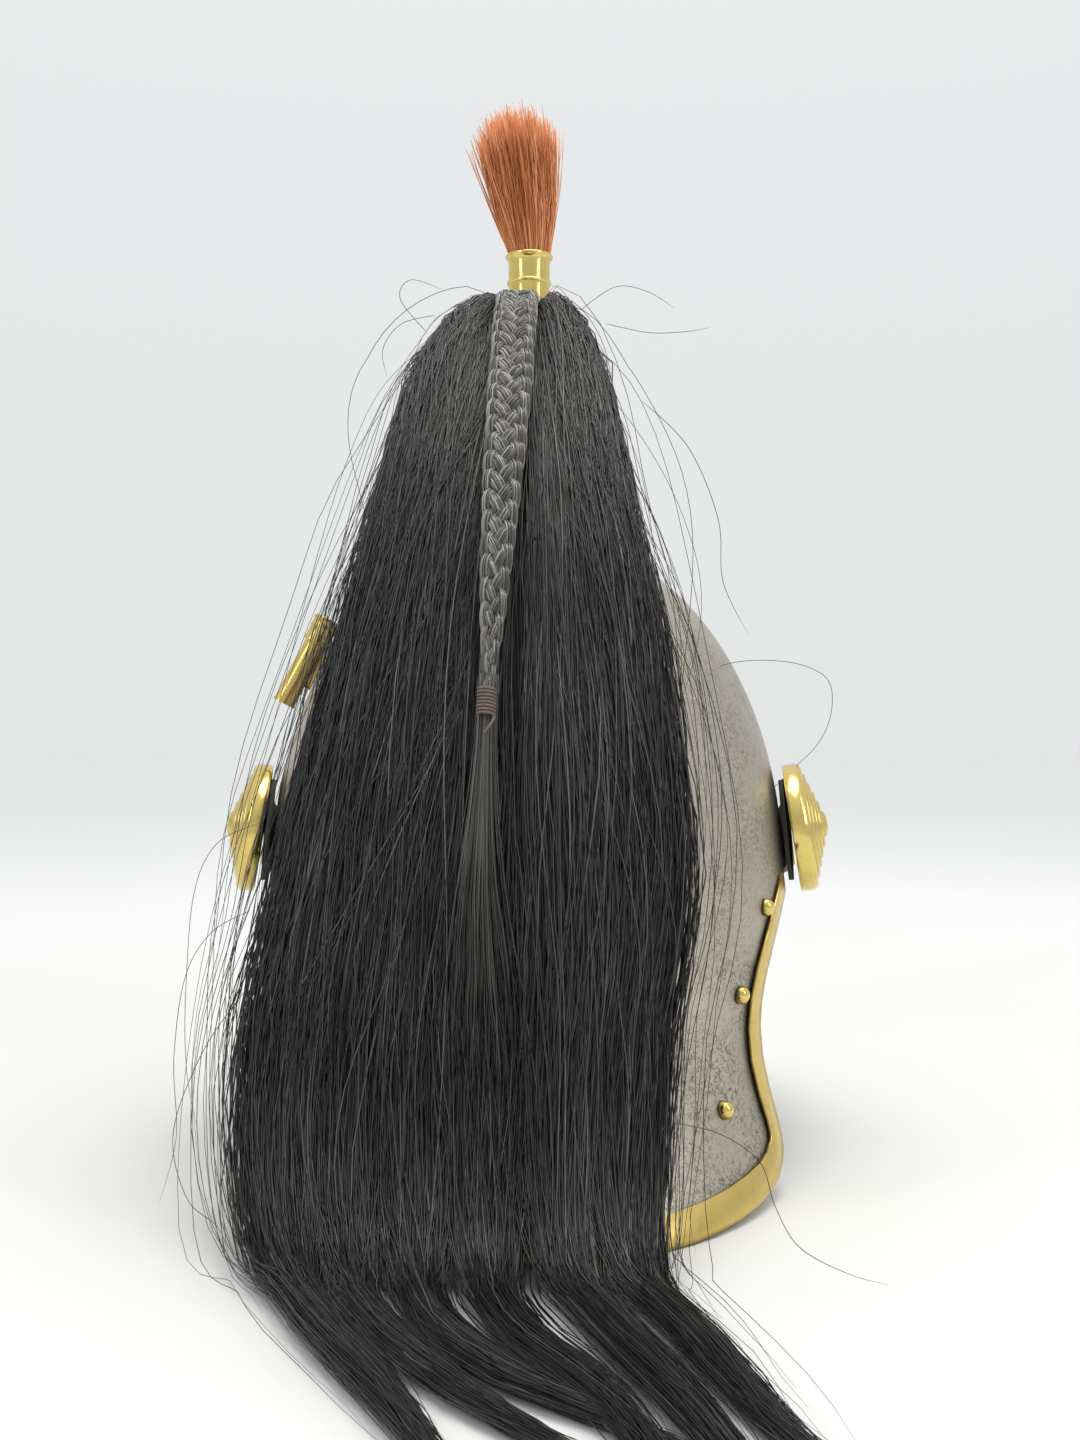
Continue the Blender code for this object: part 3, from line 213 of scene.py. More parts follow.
def addObject(name, data):
    obj = bpy.data.objects.new(name, data)
    bpy.context.scene.collection.objects.link(obj)
    return obj


def addPiece(name, mesh, finish, stands=(), smoothAngle=None):
    # a piece of the helmet: its finish, and the solids it stands for
    obj = addObject(name, mesh)
    mesh.materials.clear()
    mesh.materials.append(finish)
    mesh.shade_smooth()
    if smoothAngle is not None:
        mesh.set_sharp_from_angle(angle=math.radians(smoothAngle))
    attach(obj, "root")
    if stands:
        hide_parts(*stands)
    return obj


def tubes(name, paths, radius, tone, sides=3, roll=None):
    # closed tubes along many paths at once: paths are (tube, point, xyz), radius (tube, point)
    count, steps, _ = paths.shape
    along = unit(np.gradient(paths, axis=1))
    guide = np.broadcast_to((0.05, 0.8, 0.6), paths.shape)
    first = unit(np.cross(along, guide))
    second = np.cross(along, first)
    if roll is None:
        roll = np.zeros(count)
    ring = []
    for k in range(sides):
        angle = (2 * math.pi * k / sides + roll)[:, None, None]
        ring.append(paths + radius[..., None] * (first * np.cos(angle) + second * np.sin(angle)))
    points = np.stack(ring, axis=2)
    index = np.arange(count * steps * sides).reshape(count, steps, sides)
    ahead = np.roll(index, -1, axis=2)
    quads = np.stack([index[:, :-1], ahead[:, :-1], ahead[:, 1:], index[:, 1:]], axis=-1).reshape(-1, 4)
    caps = []
    for k in range(1, sides - 1):
        caps.append(np.stack([index[:, 0, 0], index[:, 0, k + 1], index[:, 0, k]], axis=-1))
        caps.append(np.stack([index[:, -1, 0], index[:, -1, k], index[:, -1, k + 1]], axis=-1))
    mesh = meshFromArrays(name, points.reshape(-1, 3), quads, np.concatenate(caps))
    toneOfPoint = np.repeat(tone.reshape(count, -1), sides if tone.ndim > 1 else steps * sides, axis=1)
    paintTone(mesh, toneOfPoint.ravel())
    return mesh


def paintTone(mesh, values):
    # each point's place between the darkest and the lightest hair colour
    shade = mesh.attributes.new("strandTone", "FLOAT", "POINT")
    shade.data.foreach_set("value", np.asarray(values, np.float32))


def addHairs(name, paths, radius, tone, finish, slot, stands=(), **shape):
    addPiece(name, tubes(name, paths, radius, tone, **shape), finish, stands)


def recorded(made, name):
    # a worked mesh as new data
    mesh = bpy.data.meshes.new(name)
    made.to_mesh(mesh)
    made.free()
    return mesh


def sheetFaces(rows, columns, closed=False):
    # quads of a grid of points, closed round its columns if asked
    across = columns if closed else columns - 1
    i, j = np.meshgrid(np.arange(rows - 1), np.arange(across), indexing="ij")
    n = (j + 1) % columns
    here, below = i * columns, (i + 1) * columns
    return np.stack([here + j, here + n, below + n, below + j], axis=-1).reshape(-1, 4)


def loftMesh(name, sections):
    # a closed body through equal rings of points, with fans over its two ends
    rings = np.asarray(sections, float)
    rows, columns, _ = rings.shape
    points = list(rings.reshape(-1, 3)) + [rings[0].mean(axis=0), rings[-1].mean(axis=0)]
    quads = sheetFaces(rows, columns, closed=True)
    k = np.arange(columns)
    n = (k + 1) % columns
    last = (rows - 1) * columns
    near = np.stack([np.full(columns, rows * columns), n, k], axis=-1)
    far = np.stack([np.full(columns, rows * columns + 1), last + k, last + n], axis=-1)
    mesh = meshFromArrays(name, points, quads, np.concatenate([near, far]))
    fixNormals(mesh)
    return mesh


def prismMesh(name, outline, half):
    # a closed outline in the middle plane drawn out to both sides
    made = bmesh.new()
    ends = []
    for x in (-half, half):
        ends.append([made.verts.new((x, p[1], p[2])) for p in outline])
        made.faces.new(ends[-1])
    count = len(outline)
    for k in range(count):
        n = (k + 1) % count
        made.faces.new((ends[0][k], ends[0][n], ends[1][n], ends[1][k]))
    bmesh.ops.recalc_face_normals(made, faces=made.faces)
    return recorded(made, name)


def fixNormals(mesh):
    made = bmesh.new()
    made.from_mesh(mesh)
    bmesh.ops.recalc_face_normals(made, faces=made.faces)
    made.to_mesh(mesh)
    made.free()


def appliedMesh(obj):
    # the object's mesh with its modifiers, as new data
    graph = bpy.context.evaluated_depsgraph_get()
    return bpy.data.meshes.new_from_object(obj.evaluated_get(graph))


# Finishes

steelLooks = {
    "plain": "C3BDAF",
    "shaded": "A8A294",
    "stain": "5E594E",
    "roughness": 0.42,
    "peelMm": 2.2,
    "pitMm": 1.5,
    "stainedBelow": 0.16,
}


def steelPlate():
    # Raised sheet steel, greyed with age: a soft warm sheen over fine hammer and rust pitting
    look = steelLooks
    made, tree, place = newMaterial("agedSheetSteel")
    cloud = noise(tree, place, 22.0, 4.0, Roughness=0.6)
    peel = noise(tree, place, 1000 / look["peelMm"], 3.0)
    pit = noise(tree, place, 1000 / look["pitMm"], 2.0, Roughness=0.6, Distortion=1.4)
    height = addNode(tree, "SeparateXYZ", None, {"Vector": place}).outputs["Z"]
    pits = ramp(tree, pit, [(0.47, grey(0)), (0.60, grey(0.8))])
    areas = ramp(tree, noise(tree, place, 60.0, 3.0), [(0.34, grey(0.3)), (0.58, grey(1))])
    amount = reckoned(tree, "MULTIPLY", pits, areas)
    amount = reckoned(tree, "MULTIPLY", amount, spread(tree, height, 0.62, 1.0, look["stainedBelow"], 0.0))
    base = mixed(tree, cloud, linear(look["plain"]), linear(look["shaded"]))
    marked = mixed(tree, amount, base, linear(look["stain"]))
    dull = spread(tree, cloud, look["roughness"] - 0.06, look["roughness"] + 0.1)
    relief = bumped(tree, amount, 0.5, 0.00025, bumped(tree, peel, 0.5, 0.0003), invert=True)
    return finished(made, marked, relief, dull, Metallic=1.0)


def brass(name, colours, roughness, scratchMm, dent, hollowMm):
    # Brass worked by hand: golden where it is rubbed, olive brown in its hollows, and finely scratched; the hollows'
    # olive brown is partly real tarnish and partly painted shade, darkened where ambient occlusion finds them
    bright, deep, tarnishAndShade = (linear(colour) for colour in colours)
    made, tree, place = newMaterial(name)
    cloud = noise(tree, place, 45.0, 5.0, Roughness=0.62)
    spots = noise(tree, place, 260.0, 4.0, Roughness=0.7)
    scratch = noise(tree, stretched(tree, place, (1.0, 1.0, 0.12)), 1000 / scratchMm, 3.0)
    hollow = addNode(tree, "AmbientOcclusion", {"samples": 4, "Distance": hollowMm / 1000}).outputs["AO"]
    # painted shade: hollows found by ambient occlusion are pulled towards the tarnish colour, partly real tarnish and
    # partly shade
    hollowTarnishAndShade = ramp(tree, hollow, [(0.50, grey(1)), (0.97, grey(0))])
    patches = ramp(tree, spots, [(0.54, grey(0)), (0.74, grey(0.40))])
    amount = reckoned(tree, "MAXIMUM", patches, hollowTarnishAndShade)
    base = mixed(tree, cloud, bright, deep)
    coloured = mixed(tree, reckoned(tree, "MULTIPLY", amount, 0.8), base, tarnishAndShade)
    relief = bumped(tree, cloud, dent, 0.0006, bumped(tree, scratch, 0.12, 0.0001))
    return finished(made, coloured, relief, spread(tree, amount, roughness, roughness + 0.24), Metallic=1.0)


def horsehair(name, stops, roughness, specular):
    # Long horsehair: each hair a smooth glossy thread with a tone of its own
    made, tree, place = newMaterial(name)
    tone = addNode(tree, "Attribute", {"attribute_name": "strandTone"}).outputs["Fac"]
    drift = spread(tree, noise(tree, place, 30.0, 2.0), -0.18, 0.18)
    total = addNode(tree, "Math", {"operation": "ADD", "use_clamp": True}, {0: tone, 1: drift}).outputs[0]
    colour = ramp(tree, total, [(at, linear(shade)) for at, shade in stops])
    return finished(made, colour, None, roughness, **{"Specular IOR Level": specular})


def hairShadow():
    # What lies deep between the hairs, where no light comes
    made, tree, place = newMaterial("horsehairInShadow")
    lines = noise(tree, stretched(tree, place, (1.0, 0.3, 0.06)), 900.0, 3.0)
    colour = ramp(tree, lines, [(0.35, linear("050505")), (0.7, linear("141415"))])
    return finished(made, colour, bumped(tree, lines, 0.8, 0.0008), 0.7, **{"Specular IOR Level": 0.25})


def strapLeather():
    # Vegetable-tanned cowhide, blacked and worn: fine grain with a dull shine
    made, tree, place = newMaterial("blackedCowhide")
    grain = addNode(tree, "TexVoronoi", {"Scale": 900.0}, {"Vector": place}).outputs["Distance"]
    colour = ramp(tree, noise(tree, place, 90.0, 4.0), [(0.35, linear("141210")), (0.75, linear("2C2824"))])
    return finished(made, colour, bumped(tree, grain, 0.35, 0.0002), 0.5)


agedSteel = steelPlate()
# each brass's third colour is its tarnish, also used as painted shade in the hollows
brightBrass = brass("spunBrass", ("E9D488", "D1B863", "876F32"), 0.16, 0.7, 0.06, 4.0)
satinBrass = brass("foldedSheetBrass", ("DFC87F", "C5AA5B", "7C6932"), 0.28, 0.5, 0.14, 4.0)
chasedBrass = brass("chasedBrass", ("E2CA83", "C8AD5E", "66562A"), 0.24, 0.6, 0.10, 12.0)
blackHair = horsehair("blackHorsehair", [(0.0, "0A0A0A"), (0.4, "1F1F1F"), (0.75, "3E3E3D"), (1.0, "696966")],
                      0.36, 0.6)
greyHair = horsehair("greyHorsehair", [(0.0, "1E1E1D"), (0.35, "4C4B48"), (0.7, "787672"), (1.0, "A6A49F")],
                     0.36, 0.6)
redHair = horsehair("redHorsehair", [(0.0, "9A5427"), (0.4, "D58350"), (0.75, "E29B6C"), (1.0, "EFBB96")],
                    0.55, 0.3)
brownThread = horsehair("waxedThread", [(0.0, "4A3E3A"), (0.6, "73635C"), (1.0, "9A8A82")], 0.6, 0.3)
hairInShadow = hairShadow()
blackedLeather = strapLeather()
print("finishes made")


# Skull

skullShape = {
    "halfBreadth": 0.1005,
    "frontReach": 0.121,
    "backReach": 0.124,
    "middleY": -0.0783,
    "widestLevel": 0.101,
    "domeHeight": 0.138,
    "fullness": 2.12,
    "crownForward": 0.007,
    "steel": 0.0012,
    "columns": 128,
    "domeRows": 26,
    "skirtRows": 26,
    "hemBelow": 0.004,
    "cutterBelow": 0.03,
}
skullTop = skullShape["widestLevel"] + skullShape["domeHeight"]

# Below the widest level: height as a share of it, then breadth, back reach and front reach as shares
skirtTable = np.array([
    (0.00, 1.085, 1.190, 0.940),
    (0.14, 1.052, 1.105, 0.942),
    (0.28, 1.022, 1.028, 0.947),
    (0.42, 1.002, 0.974, 0.955),
    (0.56, 0.992, 0.952, 0.966),
    (0.70, 0.993, 0.962, 0.980),
    (0.85, 0.998, 0.987, 0.993),
    (1.00, 1.000, 1.000, 1.000),
])

# The lower edge in side view: reach as a share of the back reach, height as a share of the widest level
edgeTable = [
    (-1.050, 0.590), (-0.870, 0.600), (-0.680, 0.640), (-0.445, 0.725), (-0.235, 0.858), (-0.040, 0.982),
    (0.120, 1.040), (0.240, 1.045), (0.345, 1.000), (0.440, 0.905), (0.502, 0.800), (0.540, 0.670),
    (0.552, 0.508), (0.555, 0.360), (0.562, 0.240), (0.592, 0.155), (0.650, 0.104), (0.730, 0.070),
    (0.850, 0.045), (0.980, 0.025), (1.080, 0.014), (1.160, 0.014), (1.400, 0.014),
]


def skullSection(z):
    # half breadth, front reach, back reach and middle Y of the skull's outline at heights
    s = skullShape
    z = np.asarray(z, float)
    share = np.clip(z, 0.0, None) / s["widestLevel"]
    below = [curveThroughRows(skirtTable[:, 0], skirtTable[:, k], np.clip(share, 0, 1)) for k in (1, 2, 3)]
    up = np.clip((z - s["widestLevel"]) / s["domeHeight"], 0.0, 1.0)
    dome = (1 - up ** s["fullness"]) ** (1 / s["fullness"])
    high = z >= s["widestLevel"]
    breadth = s["halfBreadth"] * np.where(high, dome, below[0])
    back = s["backReach"] * np.where(high, dome, below[1])
    front = s["frontReach"] * np.where(high, dome, below[2])
    return breadth, front, back, s["middleY"] - s["crownForward"] * up


def skullPoints(turn, z):
    # points of the skull's outside: turn in degrees from straight ahead towards the wearer's left
    breadth, front, back, middle = skullSection(z)
    angle = np.radians(turn)
    reach = np.where(np.cos(angle) > 0, front, back)
    return np.stack(np.broadcast_arrays(breadth * np.sin(angle), middle - reach * np.cos(angle), z), axis=-1)


def skullNormal(turn, z):
    # the way straight out from the skull at a point of it
    across = skullPoints(turn + 0.4, z) - skullPoints(turn - 0.4, z)
    above = skullPoints(turn, np.minimum(z + 0.0005, skullTop - 1e-5))
    below = skullPoints(turn, np.maximum(z - 0.0005, 0.0))
    return unit(np.cross(across, above - below))


def clearOfSkull(points, stand):
    # pushes points straight out from the skull's middle until they stand off it
    breadth, front, back, middle = skullSection(np.minimum(points[..., 2], skullTop - 1e-4))
    dx = points[..., 0]
    dy = points[..., 1] - middle
    reach = np.where(dy < 0, front, back) + stand
    size = np.sqrt((dx / (breadth + stand)) ** 2 + (dy / reach) ** 2)
    push = np.where((size < 1) & (points[..., 2] < skullTop), 1 / np.maximum(size, 0.05), 1.0)
    moved = points.copy()
    moved[..., 0] = dx * push
    moved[..., 1] = middle + dy * push
    return moved


def smoothLine(points, steps):
    # a line through the given points, rounded between them
    points = np.asarray(points, float)
    found = []
    for i in range(len(points) - 1):
        a, b, c, d = (points[min(max(j, 0), len(points) - 1)] for j in range(i - 1, i + 3))
        t = (np.arange(steps) / steps)[:, None]
        lower = 2 * b + (c - a) * t + (2 * a - 5 * b + 4 * c - d) * t**2
        found.append(0.5 * (lower + (3 * b - a - 3 * c + d) * t**3))
    return np.concatenate(found + [points[-1:]])


def buildSkull():
    # a fine sheet over the solid's own shape, thickened and cut to the same lower edge
    s = skullShape
    rise = np.cos(np.pi / 2 * np.arange(1, s["domeRows"]) / s["domeRows"]) ** (2 / s["fullness"])
    dome = s["widestLevel"] + s["domeHeight"] * rise
    skirt = s["widestLevel"] * (1 - np.arange(s["skirtRows"] + 1) / s["skirtRows"])
    levels = np.concatenate([[skullTop - 1e-5], dome, skirt, [0.0]])
    columns = s["columns"]
    turns = np.linspace(0.0, 360.0, columns, endpoint=False)
    grid = skullPoints(turns[None, :], np.broadcast_to(levels[:, None], (len(levels), columns)))
    grid[-1, :, 2] = -s["hemBelow"]
    points = np.concatenate([grid.reshape(-1, 3), [[0.0, s["middleY"] - s["crownForward"], skullTop]]])
    k = np.arange(columns)
    top = np.stack([np.full(columns, len(points) - 1), k, (k + 1) % columns], axis=-1)
    sheet = meshFromArrays("skullSheet", points, sheetFaces(len(levels), columns, closed=True), top)
    fixNormals(sheet)
    obj = addObject("skullSheet", sheet)
    wall = obj.modifiers.new("Plate", "SOLIDIFY")
    wall.thickness = s["steel"]
    wall.offset = -1.0
    edge = smoothLine([(0.0, s["middleY"] + r * s["backReach"], h * s["widestLevel"]) for r, h in edgeTable], 8)
    below = np.array([[0.0, edge[k, 1], -s["cutterBelow"]] for k in (-1, 0)])
    outline = np.concatenate([edge, below])
    cutter = addObject("openingCutter", prismMesh("openingCutter", outline, s["halfBreadth"] * 1.4))
    cut = obj.modifiers.new("Opening", "BOOLEAN")
    cut.operation = "DIFFERENCE"
    cut.object = cutter
    mesh = appliedMesh(obj)
    bpy.data.objects.remove(obj)
    bpy.data.objects.remove(cutter)
    mesh.name = "skullPlate"
    addPiece("skullPlate", mesh, agedSteel, ["skull"], smoothAngle=40)


buildSkull()
print("skull plate made")


# Brass and steel taken from the solids, with welded corners and softened edges

weldDistance = 2e-6


def fromSolid(name, node, finish, slot, edgeMm, smoothAngle):
    made = bmesh.new()
    made.from_mesh(nodes[node].data)
    bmesh.ops.remove_doubles(made, verts=made.verts, dist=weldDistance)
    obj = addPiece(name, recorded(made, name), finish, [node], smoothAngle)
    bevel = obj.modifiers.new("Soft edges", "BEVEL")
    bevel.width = edgeMm / 1000
    bevel.segments = 2
    bevel.limit_method = "ANGLE"
    bevel.angle_limit = math.radians(smoothAngle + 8)
    bevel.harden_normals = True


# piece, its solid, finish, slot, softened edge in mm, and the angle from which an edge stays sharp
solidLooks = [
    ("neckEdging", "neck_edging", satinBrass, "brass", 0.25, 50.0),
    ("peakPlate", "peak", agedSteel, "steel", 0.15, 40.0),
    ("peakEdging", "peak_edging", satinBrass, "brass", 0.2, 50.0),
    ("browBand", "front_band", satinBrass, "brass", 0.2, 50.0),
    ("grenade", "grenade_badge", chasedBrass, "brass", 0.3, 40.0),
    ("chinStrapLeft", "chin_leather_left", blackedLeather, "black_leather", 0.3, 40.0),
    ("chinStrapRight", "chin_leather_right", blackedLeather, "black_leather", 0.3, 40.0),
    ("chinScalesLeft", "chin_scales_left", satinBrass, "brass", 0.2, 35.0),
    ("chinScalesRight", "chin_scales_right", satinBrass, "brass", 0.2, 35.0),
    ("chinClasp", "chin_clasp", satinBrass, "brass", 0.4, 35.0),
]
for row in solidLooks:
    fromSolid(*row)
print("edging, peak, band and chin strap dressed")


# Turned brass: rosettes, rivets and the tuft's sleeve

turnedLooks = {
    "rosetteRadius": 0.0245,
    "rosetteHeight": 0.0138,
    "rosetteRim": 0.0056,
    "rosetteTurn": 101.0,
    "rosetteLevel": 0.123,
    "rosetteStandoff": 0.0039,
    "rosetteTilt": 3.0,
    "rosetteSteps": 5,
    "knobShare": 0.235,
    "leatherGap": 0.0042,
    "columns": 96,
    "rivetRadius": 0.0032,
    "rivetHeight": 0.0030,
    "rivetColumns": 28,
    "seatGap": 0.0005,
}
rivetPlaces = [(122.5, 0.975), (132.0, 0.690), (139.0, 0.330)]  # turn, and height over the widest level


def turnedMesh(name, profile, columns):
    # a body turned about Z from (radius, height) pairs that start and end on the axis
    profile = np.asarray(profile, float)
    inner = profile[1:-1]
    angle = np.linspace(0, 2 * np.pi, columns, endpoint=False)
    heights = np.repeat(inner[:, 1:], columns, axis=1)
    rings = np.stack([inner[:, :1] * np.cos(angle), inner[:, :1] * np.sin(angle), heights], axis=-1)
    points = np.concatenate([rings.reshape(-1, 3), [[0, 0, profile[0, 1]], [0, 0, profile[-1, 1]]]])
    k = np.arange(columns)
    n = (k + 1) % columns
    first, last = len(points) - 2, len(points) - 1
    base = (len(inner) - 1) * columns
    near = np.stack([np.full(columns, first), n, k], axis=-1)
    far = np.stack([np.full(columns, last), base + k, base + n], axis=-1)
    quads = sheetFaces(len(inner), columns, closed=True)
    mesh = meshFromArrays(name, points, quads, np.concatenate([near, far]))
    fixNormals(mesh)
    return mesh


def arc(centre, radius, start, end, steps):
    # points of a rounded edge, for a turned profile
    angles = np.radians(np.linspace(start, end, steps))
    return [(centre[0] + radius * math.cos(a), centre[1] + radius * math.sin(a)) for a in angles]


def rosetteProfile():
    # a crown knob, then rounded steps down to an upright rim, and the hollow back with its stud
    t = turnedLooks
    r, h, rim = t["rosetteRadius"], t["rosetteHeight"], t["rosetteRim"]
    line = [(0.0, h)]
    line += [(r * 0.10, h * 0.992), (r * 0.17, h * 0.955), (r * 0.205, h * 0.90), (r * 0.22, h * 0.85)]
    reaches = np.linspace(t["knobShare"], 0.985, t["rosetteSteps"] + 1)
    levels = np.linspace(h * 0.845, rim, t["rosetteSteps"] + 1)
    for inner, outer, high, low in zip(reaches, reaches[1:], levels, levels[1:]):
        for share, drop in ((0.0, 0.42), (0.08, 0.02), (0.28, -0.26), (0.58, -0.20), (0.80, 0.12), (0.93, 0.62)):
            line.append((r * (inner + (outer - inner) * share), high + (low - high) * drop))
    line += [(r * 0.988, rim * 0.97), (r, rim * 0.90), (r, rim * 0.12), (r * 0.992, 0.0), (r * 0.955, 0.0)]
    stud = t["leatherGap"] - t["rosetteStandoff"]
    line += [(r * 0.90, rim * 0.55), (r * 0.17, h * 0.50), (r * 0.17, stud), (0.0, stud)]
    return line


def standAt(obj, place, axis, ahead):
    # stands a turned piece at a place, with its axis one way and its X as near as can be to another
    z = Vector(axis).normalized()
    ahead = Vector(ahead)
    x = (ahead - z * ahead.dot(z)).normalized()
    turned = Matrix((x, z.cross(x), z)).transposed().to_4x4()
    obj.matrix_world = Matrix.Translation(Vector(place)) @ turned


def buildRivet(word, side, number, turn, level):
    t = turnedLooks
    radius, height = t["rivetRadius"], t["rivetHeight"]
    profile = [(0.0, height)]
    profile += [(radius * math.sin(a), height * math.cos(a)) for a in np.radians((12, 25, 38, 50, 62, 74, 84))]
    profile += [(radius, 0.0), (0.0, 0.0)]
    rivet = addPiece(f"rivet{word}{number}", turnedMesh("rivet", profile, t["rivetColumns"]), brightBrass,
                     [f"rivet_{word.lower()}_{number}"], 60)
    z = level * skullShape["widestLevel"]
    normal = skullNormal(turn * side, z)
    standAt(rivet, skullPoints(turn * side, z) + normal * t["seatGap"], normal, (0, 0, -1))
    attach(rivet, "root")


def buildTurned():
    # a rosette over each ear, and the rivets down both sides of the neck guard
    t = turnedLooks
    for side, word in ((1, "Left"), (-1, "Right")):
        mesh = turnedMesh("rosette" + word, rosetteProfile(), t["columns"])
        turn = t["rosetteTurn"] * side
        normal = Vector(skullNormal(turn, t["rosetteLevel"]))
        axis = Matrix.Rotation(-math.radians(t["rosetteTilt"]) * side, 3, "Y") @ normal
        place = Vector(skullPoints(turn, t["rosetteLevel"])) + normal * t["rosetteStandoff"]
        obj = addPiece("rosette" + word, mesh, brightBrass, ["rosette_" + word.lower()], 38)
        standAt(obj, place, axis, (0, 0, -1))
        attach(obj, "root")
        for number, (turn, level) in enumerate(rivetPlaces, 1):
            buildRivet(word, side, number, turn, level)


buildTurned()


sleeveLooks = {
    "height": 0.0415,
    "radius": 0.0096,
    "lip": 0.0106,
    "metal": 0.0009,
    "floor": 0.006,
    "sunk": 0.0020,
    "columns": 72,
}


def sleeveFoot():
    # the middle of the solid sleeve's foot
    low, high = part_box("tuft_sleeve")
    middle = (low + high) / 2
    return Vector((middle.x, middle.y, low.z))


def buildSleeve():
    # spun brass cup: a rolled lip, a bead below it and a bead at its foot
    look = sleeveLooks
    h, r, lip = look["height"], look["radius"], look["lip"]
    well = r - look["metal"]
    profile = [(0.0, look["floor"]), (well * 0.9, look["floor"]), (well, h * 0.985)]
    profile += arc(((well + lip) / 2, h * 0.975), (lip - well) / 2, 160, -70, 9)
    profile += [(r * 0.985, h * 0.935), (r * 0.96, h * 0.90), (r * 0.955, h * 0.74)]
    profile += arc((r * 0.955, h * 0.695), r * 0.085, 80, -80, 7)
    profile += [(r * 0.935, h * 0.64), (r * 0.93, h * 0.40), (r * 0.935, h * 0.15)]
    profile += arc((r * 0.95, h * 0.09), r * 0.13, 75, -75, 7)
    profile += [(lip, h * 0.03), (lip, -look["sunk"]), (0.0, -look["sunk"])]
    mesh = turnedMesh("tuftSleeve", profile, look["columns"])
    obj = addPiece("tuftSleeve", mesh, brightBrass, ["tuft_sleeve"], 45)
    obj.location = sleeveFoot()
    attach(obj, "root")


buildSleeve()


socketLooks = {
    "turn": 97.0,
    "level": 0.185,
    "length": 0.0375,
    "radius": 0.0043,
    "bore": 0.0031,
    "floor": 0.004,
    "collar": 0.0055,
    "collarLength": 0.0110,
    "standoff": 0.0068,
    "footShare": 0.5,
    "footHalfWidth": 0.0030,
    "footSections": 12,
    "footLift": 0.0007,
    "columns": 48,
}


def buildPlumeSocket():
    # drawn brass tube with a collar of two rings, soldered to a small foot
    look = socketLooks
    r, length, collar = look["radius"], look["length"], look["collar"]
    start = length - look["collarLength"]
    bore = look["bore"]
    profile = [(0.0, look["floor"]), (bore, look["floor"]), (bore, length - 0.0004), (bore + 0.0004, length)]
    profile += [(collar - 0.0003, length), (collar, length - 0.0003), (collar, length - 0.0016)]
    # the two rings of the collar: share of its radius, and how far down
    profile += [(collar * share, length - down) for share, down in
                ((0.94, 0.0021), (0.93, 0.0034), (0.97, 0.0038), (0.97, 0.0046), (0.92, 0.0051))]
    profile += [(collar * 0.90, start + 0.0022), (collar * 0.96, start + 0.0016), (collar * 0.96, start + 0.0006)]
    profile += [(r, start - 0.0002), (r * 0.99, length * 0.3), (r, 0.0012), (r * 1.07, 0.0008), (r * 1.07, 0.0),
                (0.0, 0.0)]
    normal = Vector(skullNormal(look["turn"], look["level"]))
    place = Vector(skullPoints(look["turn"], look["level"])) + normal * look["standoff"]
    axis = (Vector((0, 0, 1)) - normal * normal.z).normalized()
    mesh = turnedMesh("plumeTube", profile, look["columns"])
    tube = addPiece("plumeTube", mesh, satinBrass, ["plume_socket"], 40)
    standAt(tube, place - axis * length / 2, axis, normal)
    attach(tube, "root")
    across = axis.cross(normal)
    sections = []
    for share in np.linspace(0, 1, look["footSections"] + 1):
        middle = place + axis * (share - 0.5) * length * look["footShare"]
        slim = math.sqrt(max(0.0, 1 - (2 * share - 1) ** 4)) * 0.75 + 0.25
        half = look["footHalfWidth"] * slim
        foot = [middle + across * w * half for w in (-1.4, -0.7, 0.0, 0.7, 1.4)]
        foot = [p - normal * (look["standoff"] - look["footLift"] + 0.5 * (p - place).length ** 2
                              / skullShape["halfBreadth"]) for p in foot]
        top = [middle + across * w * half * 0.7 - normal * r * 0.8 for w in (0.8, 0.0, -0.8)]
        sections.append([tuple(p) for p in foot + top])
    addPiece("plumeFoot", loftMesh("plumeFoot", sections), satinBrass, [], 40)


buildPlumeSocket()
print("rosettes, rivets, sleeve and plume socket made")


# Crest

crestShape = {
    "top": 0.329,
    "baseHalfWidth": 0.0165,
    "ridgeHalfWidth": 0.0085,
    "gap": 0.0010,
    "gadroonDepth": 0.0032,
    "gadroons": 9,
    "stations": 18,
}

# The levels of a crest section from its foot to under its ridge, as shares of its height
crestRises = (0.0, 0.03, 0.06, 0.08, 0.10, 0.12, 0.14, 0.17, 0.20, 0.23, 0.27, 0.32, 0.38, 0.46, 0.54, 0.62, 0.70,
              0.77, 0.84, 0.88, 0.91, 0.93)
# How far it stands out there, as a share of a gadroon's depth: the foot's bead, the gadroon, then flat
gadroonLifts = ((0.0, 0.0), (0.06, 0.32), (0.10, 0.38), (0.14, 0.32), (0.20, 0.06), (0.27, 0.60), (0.38, 0.95),
                (0.50, 1.0), (0.62, 1.0), (0.74, 0.90), (0.84, 0.62), (0.90, 0.10), (0.93, 0.0), (1.0, 0.0))
beadTop = 0.17

# The crest in side view: angle of its foot round the dome, reach, and rise over the widest level
crestTable = np.array([
    (12.0, -1.035, 0.135), (19.0, -1.050, 0.200), (30.0, -1.045, 0.325), (42.0, -1.020, 0.480),
    (52.0, -0.980, 0.640), (60.0, -0.915, 0.790), (66.0, -0.820, 0.910), (71.0, -0.690, 0.982),
    (76.0, -0.545, 1.000), (81.0, -0.400, 0.997), (87.0, -0.230, 0.985), (94.0, 0.000, 0.950),
    (105.0, 0.325, 0.858), (118.0, 0.615, 0.718), (131.0, 0.850, 0.545), (144.0, 0.985, 0.370),
    (155.0, 1.020, 0.235),
])


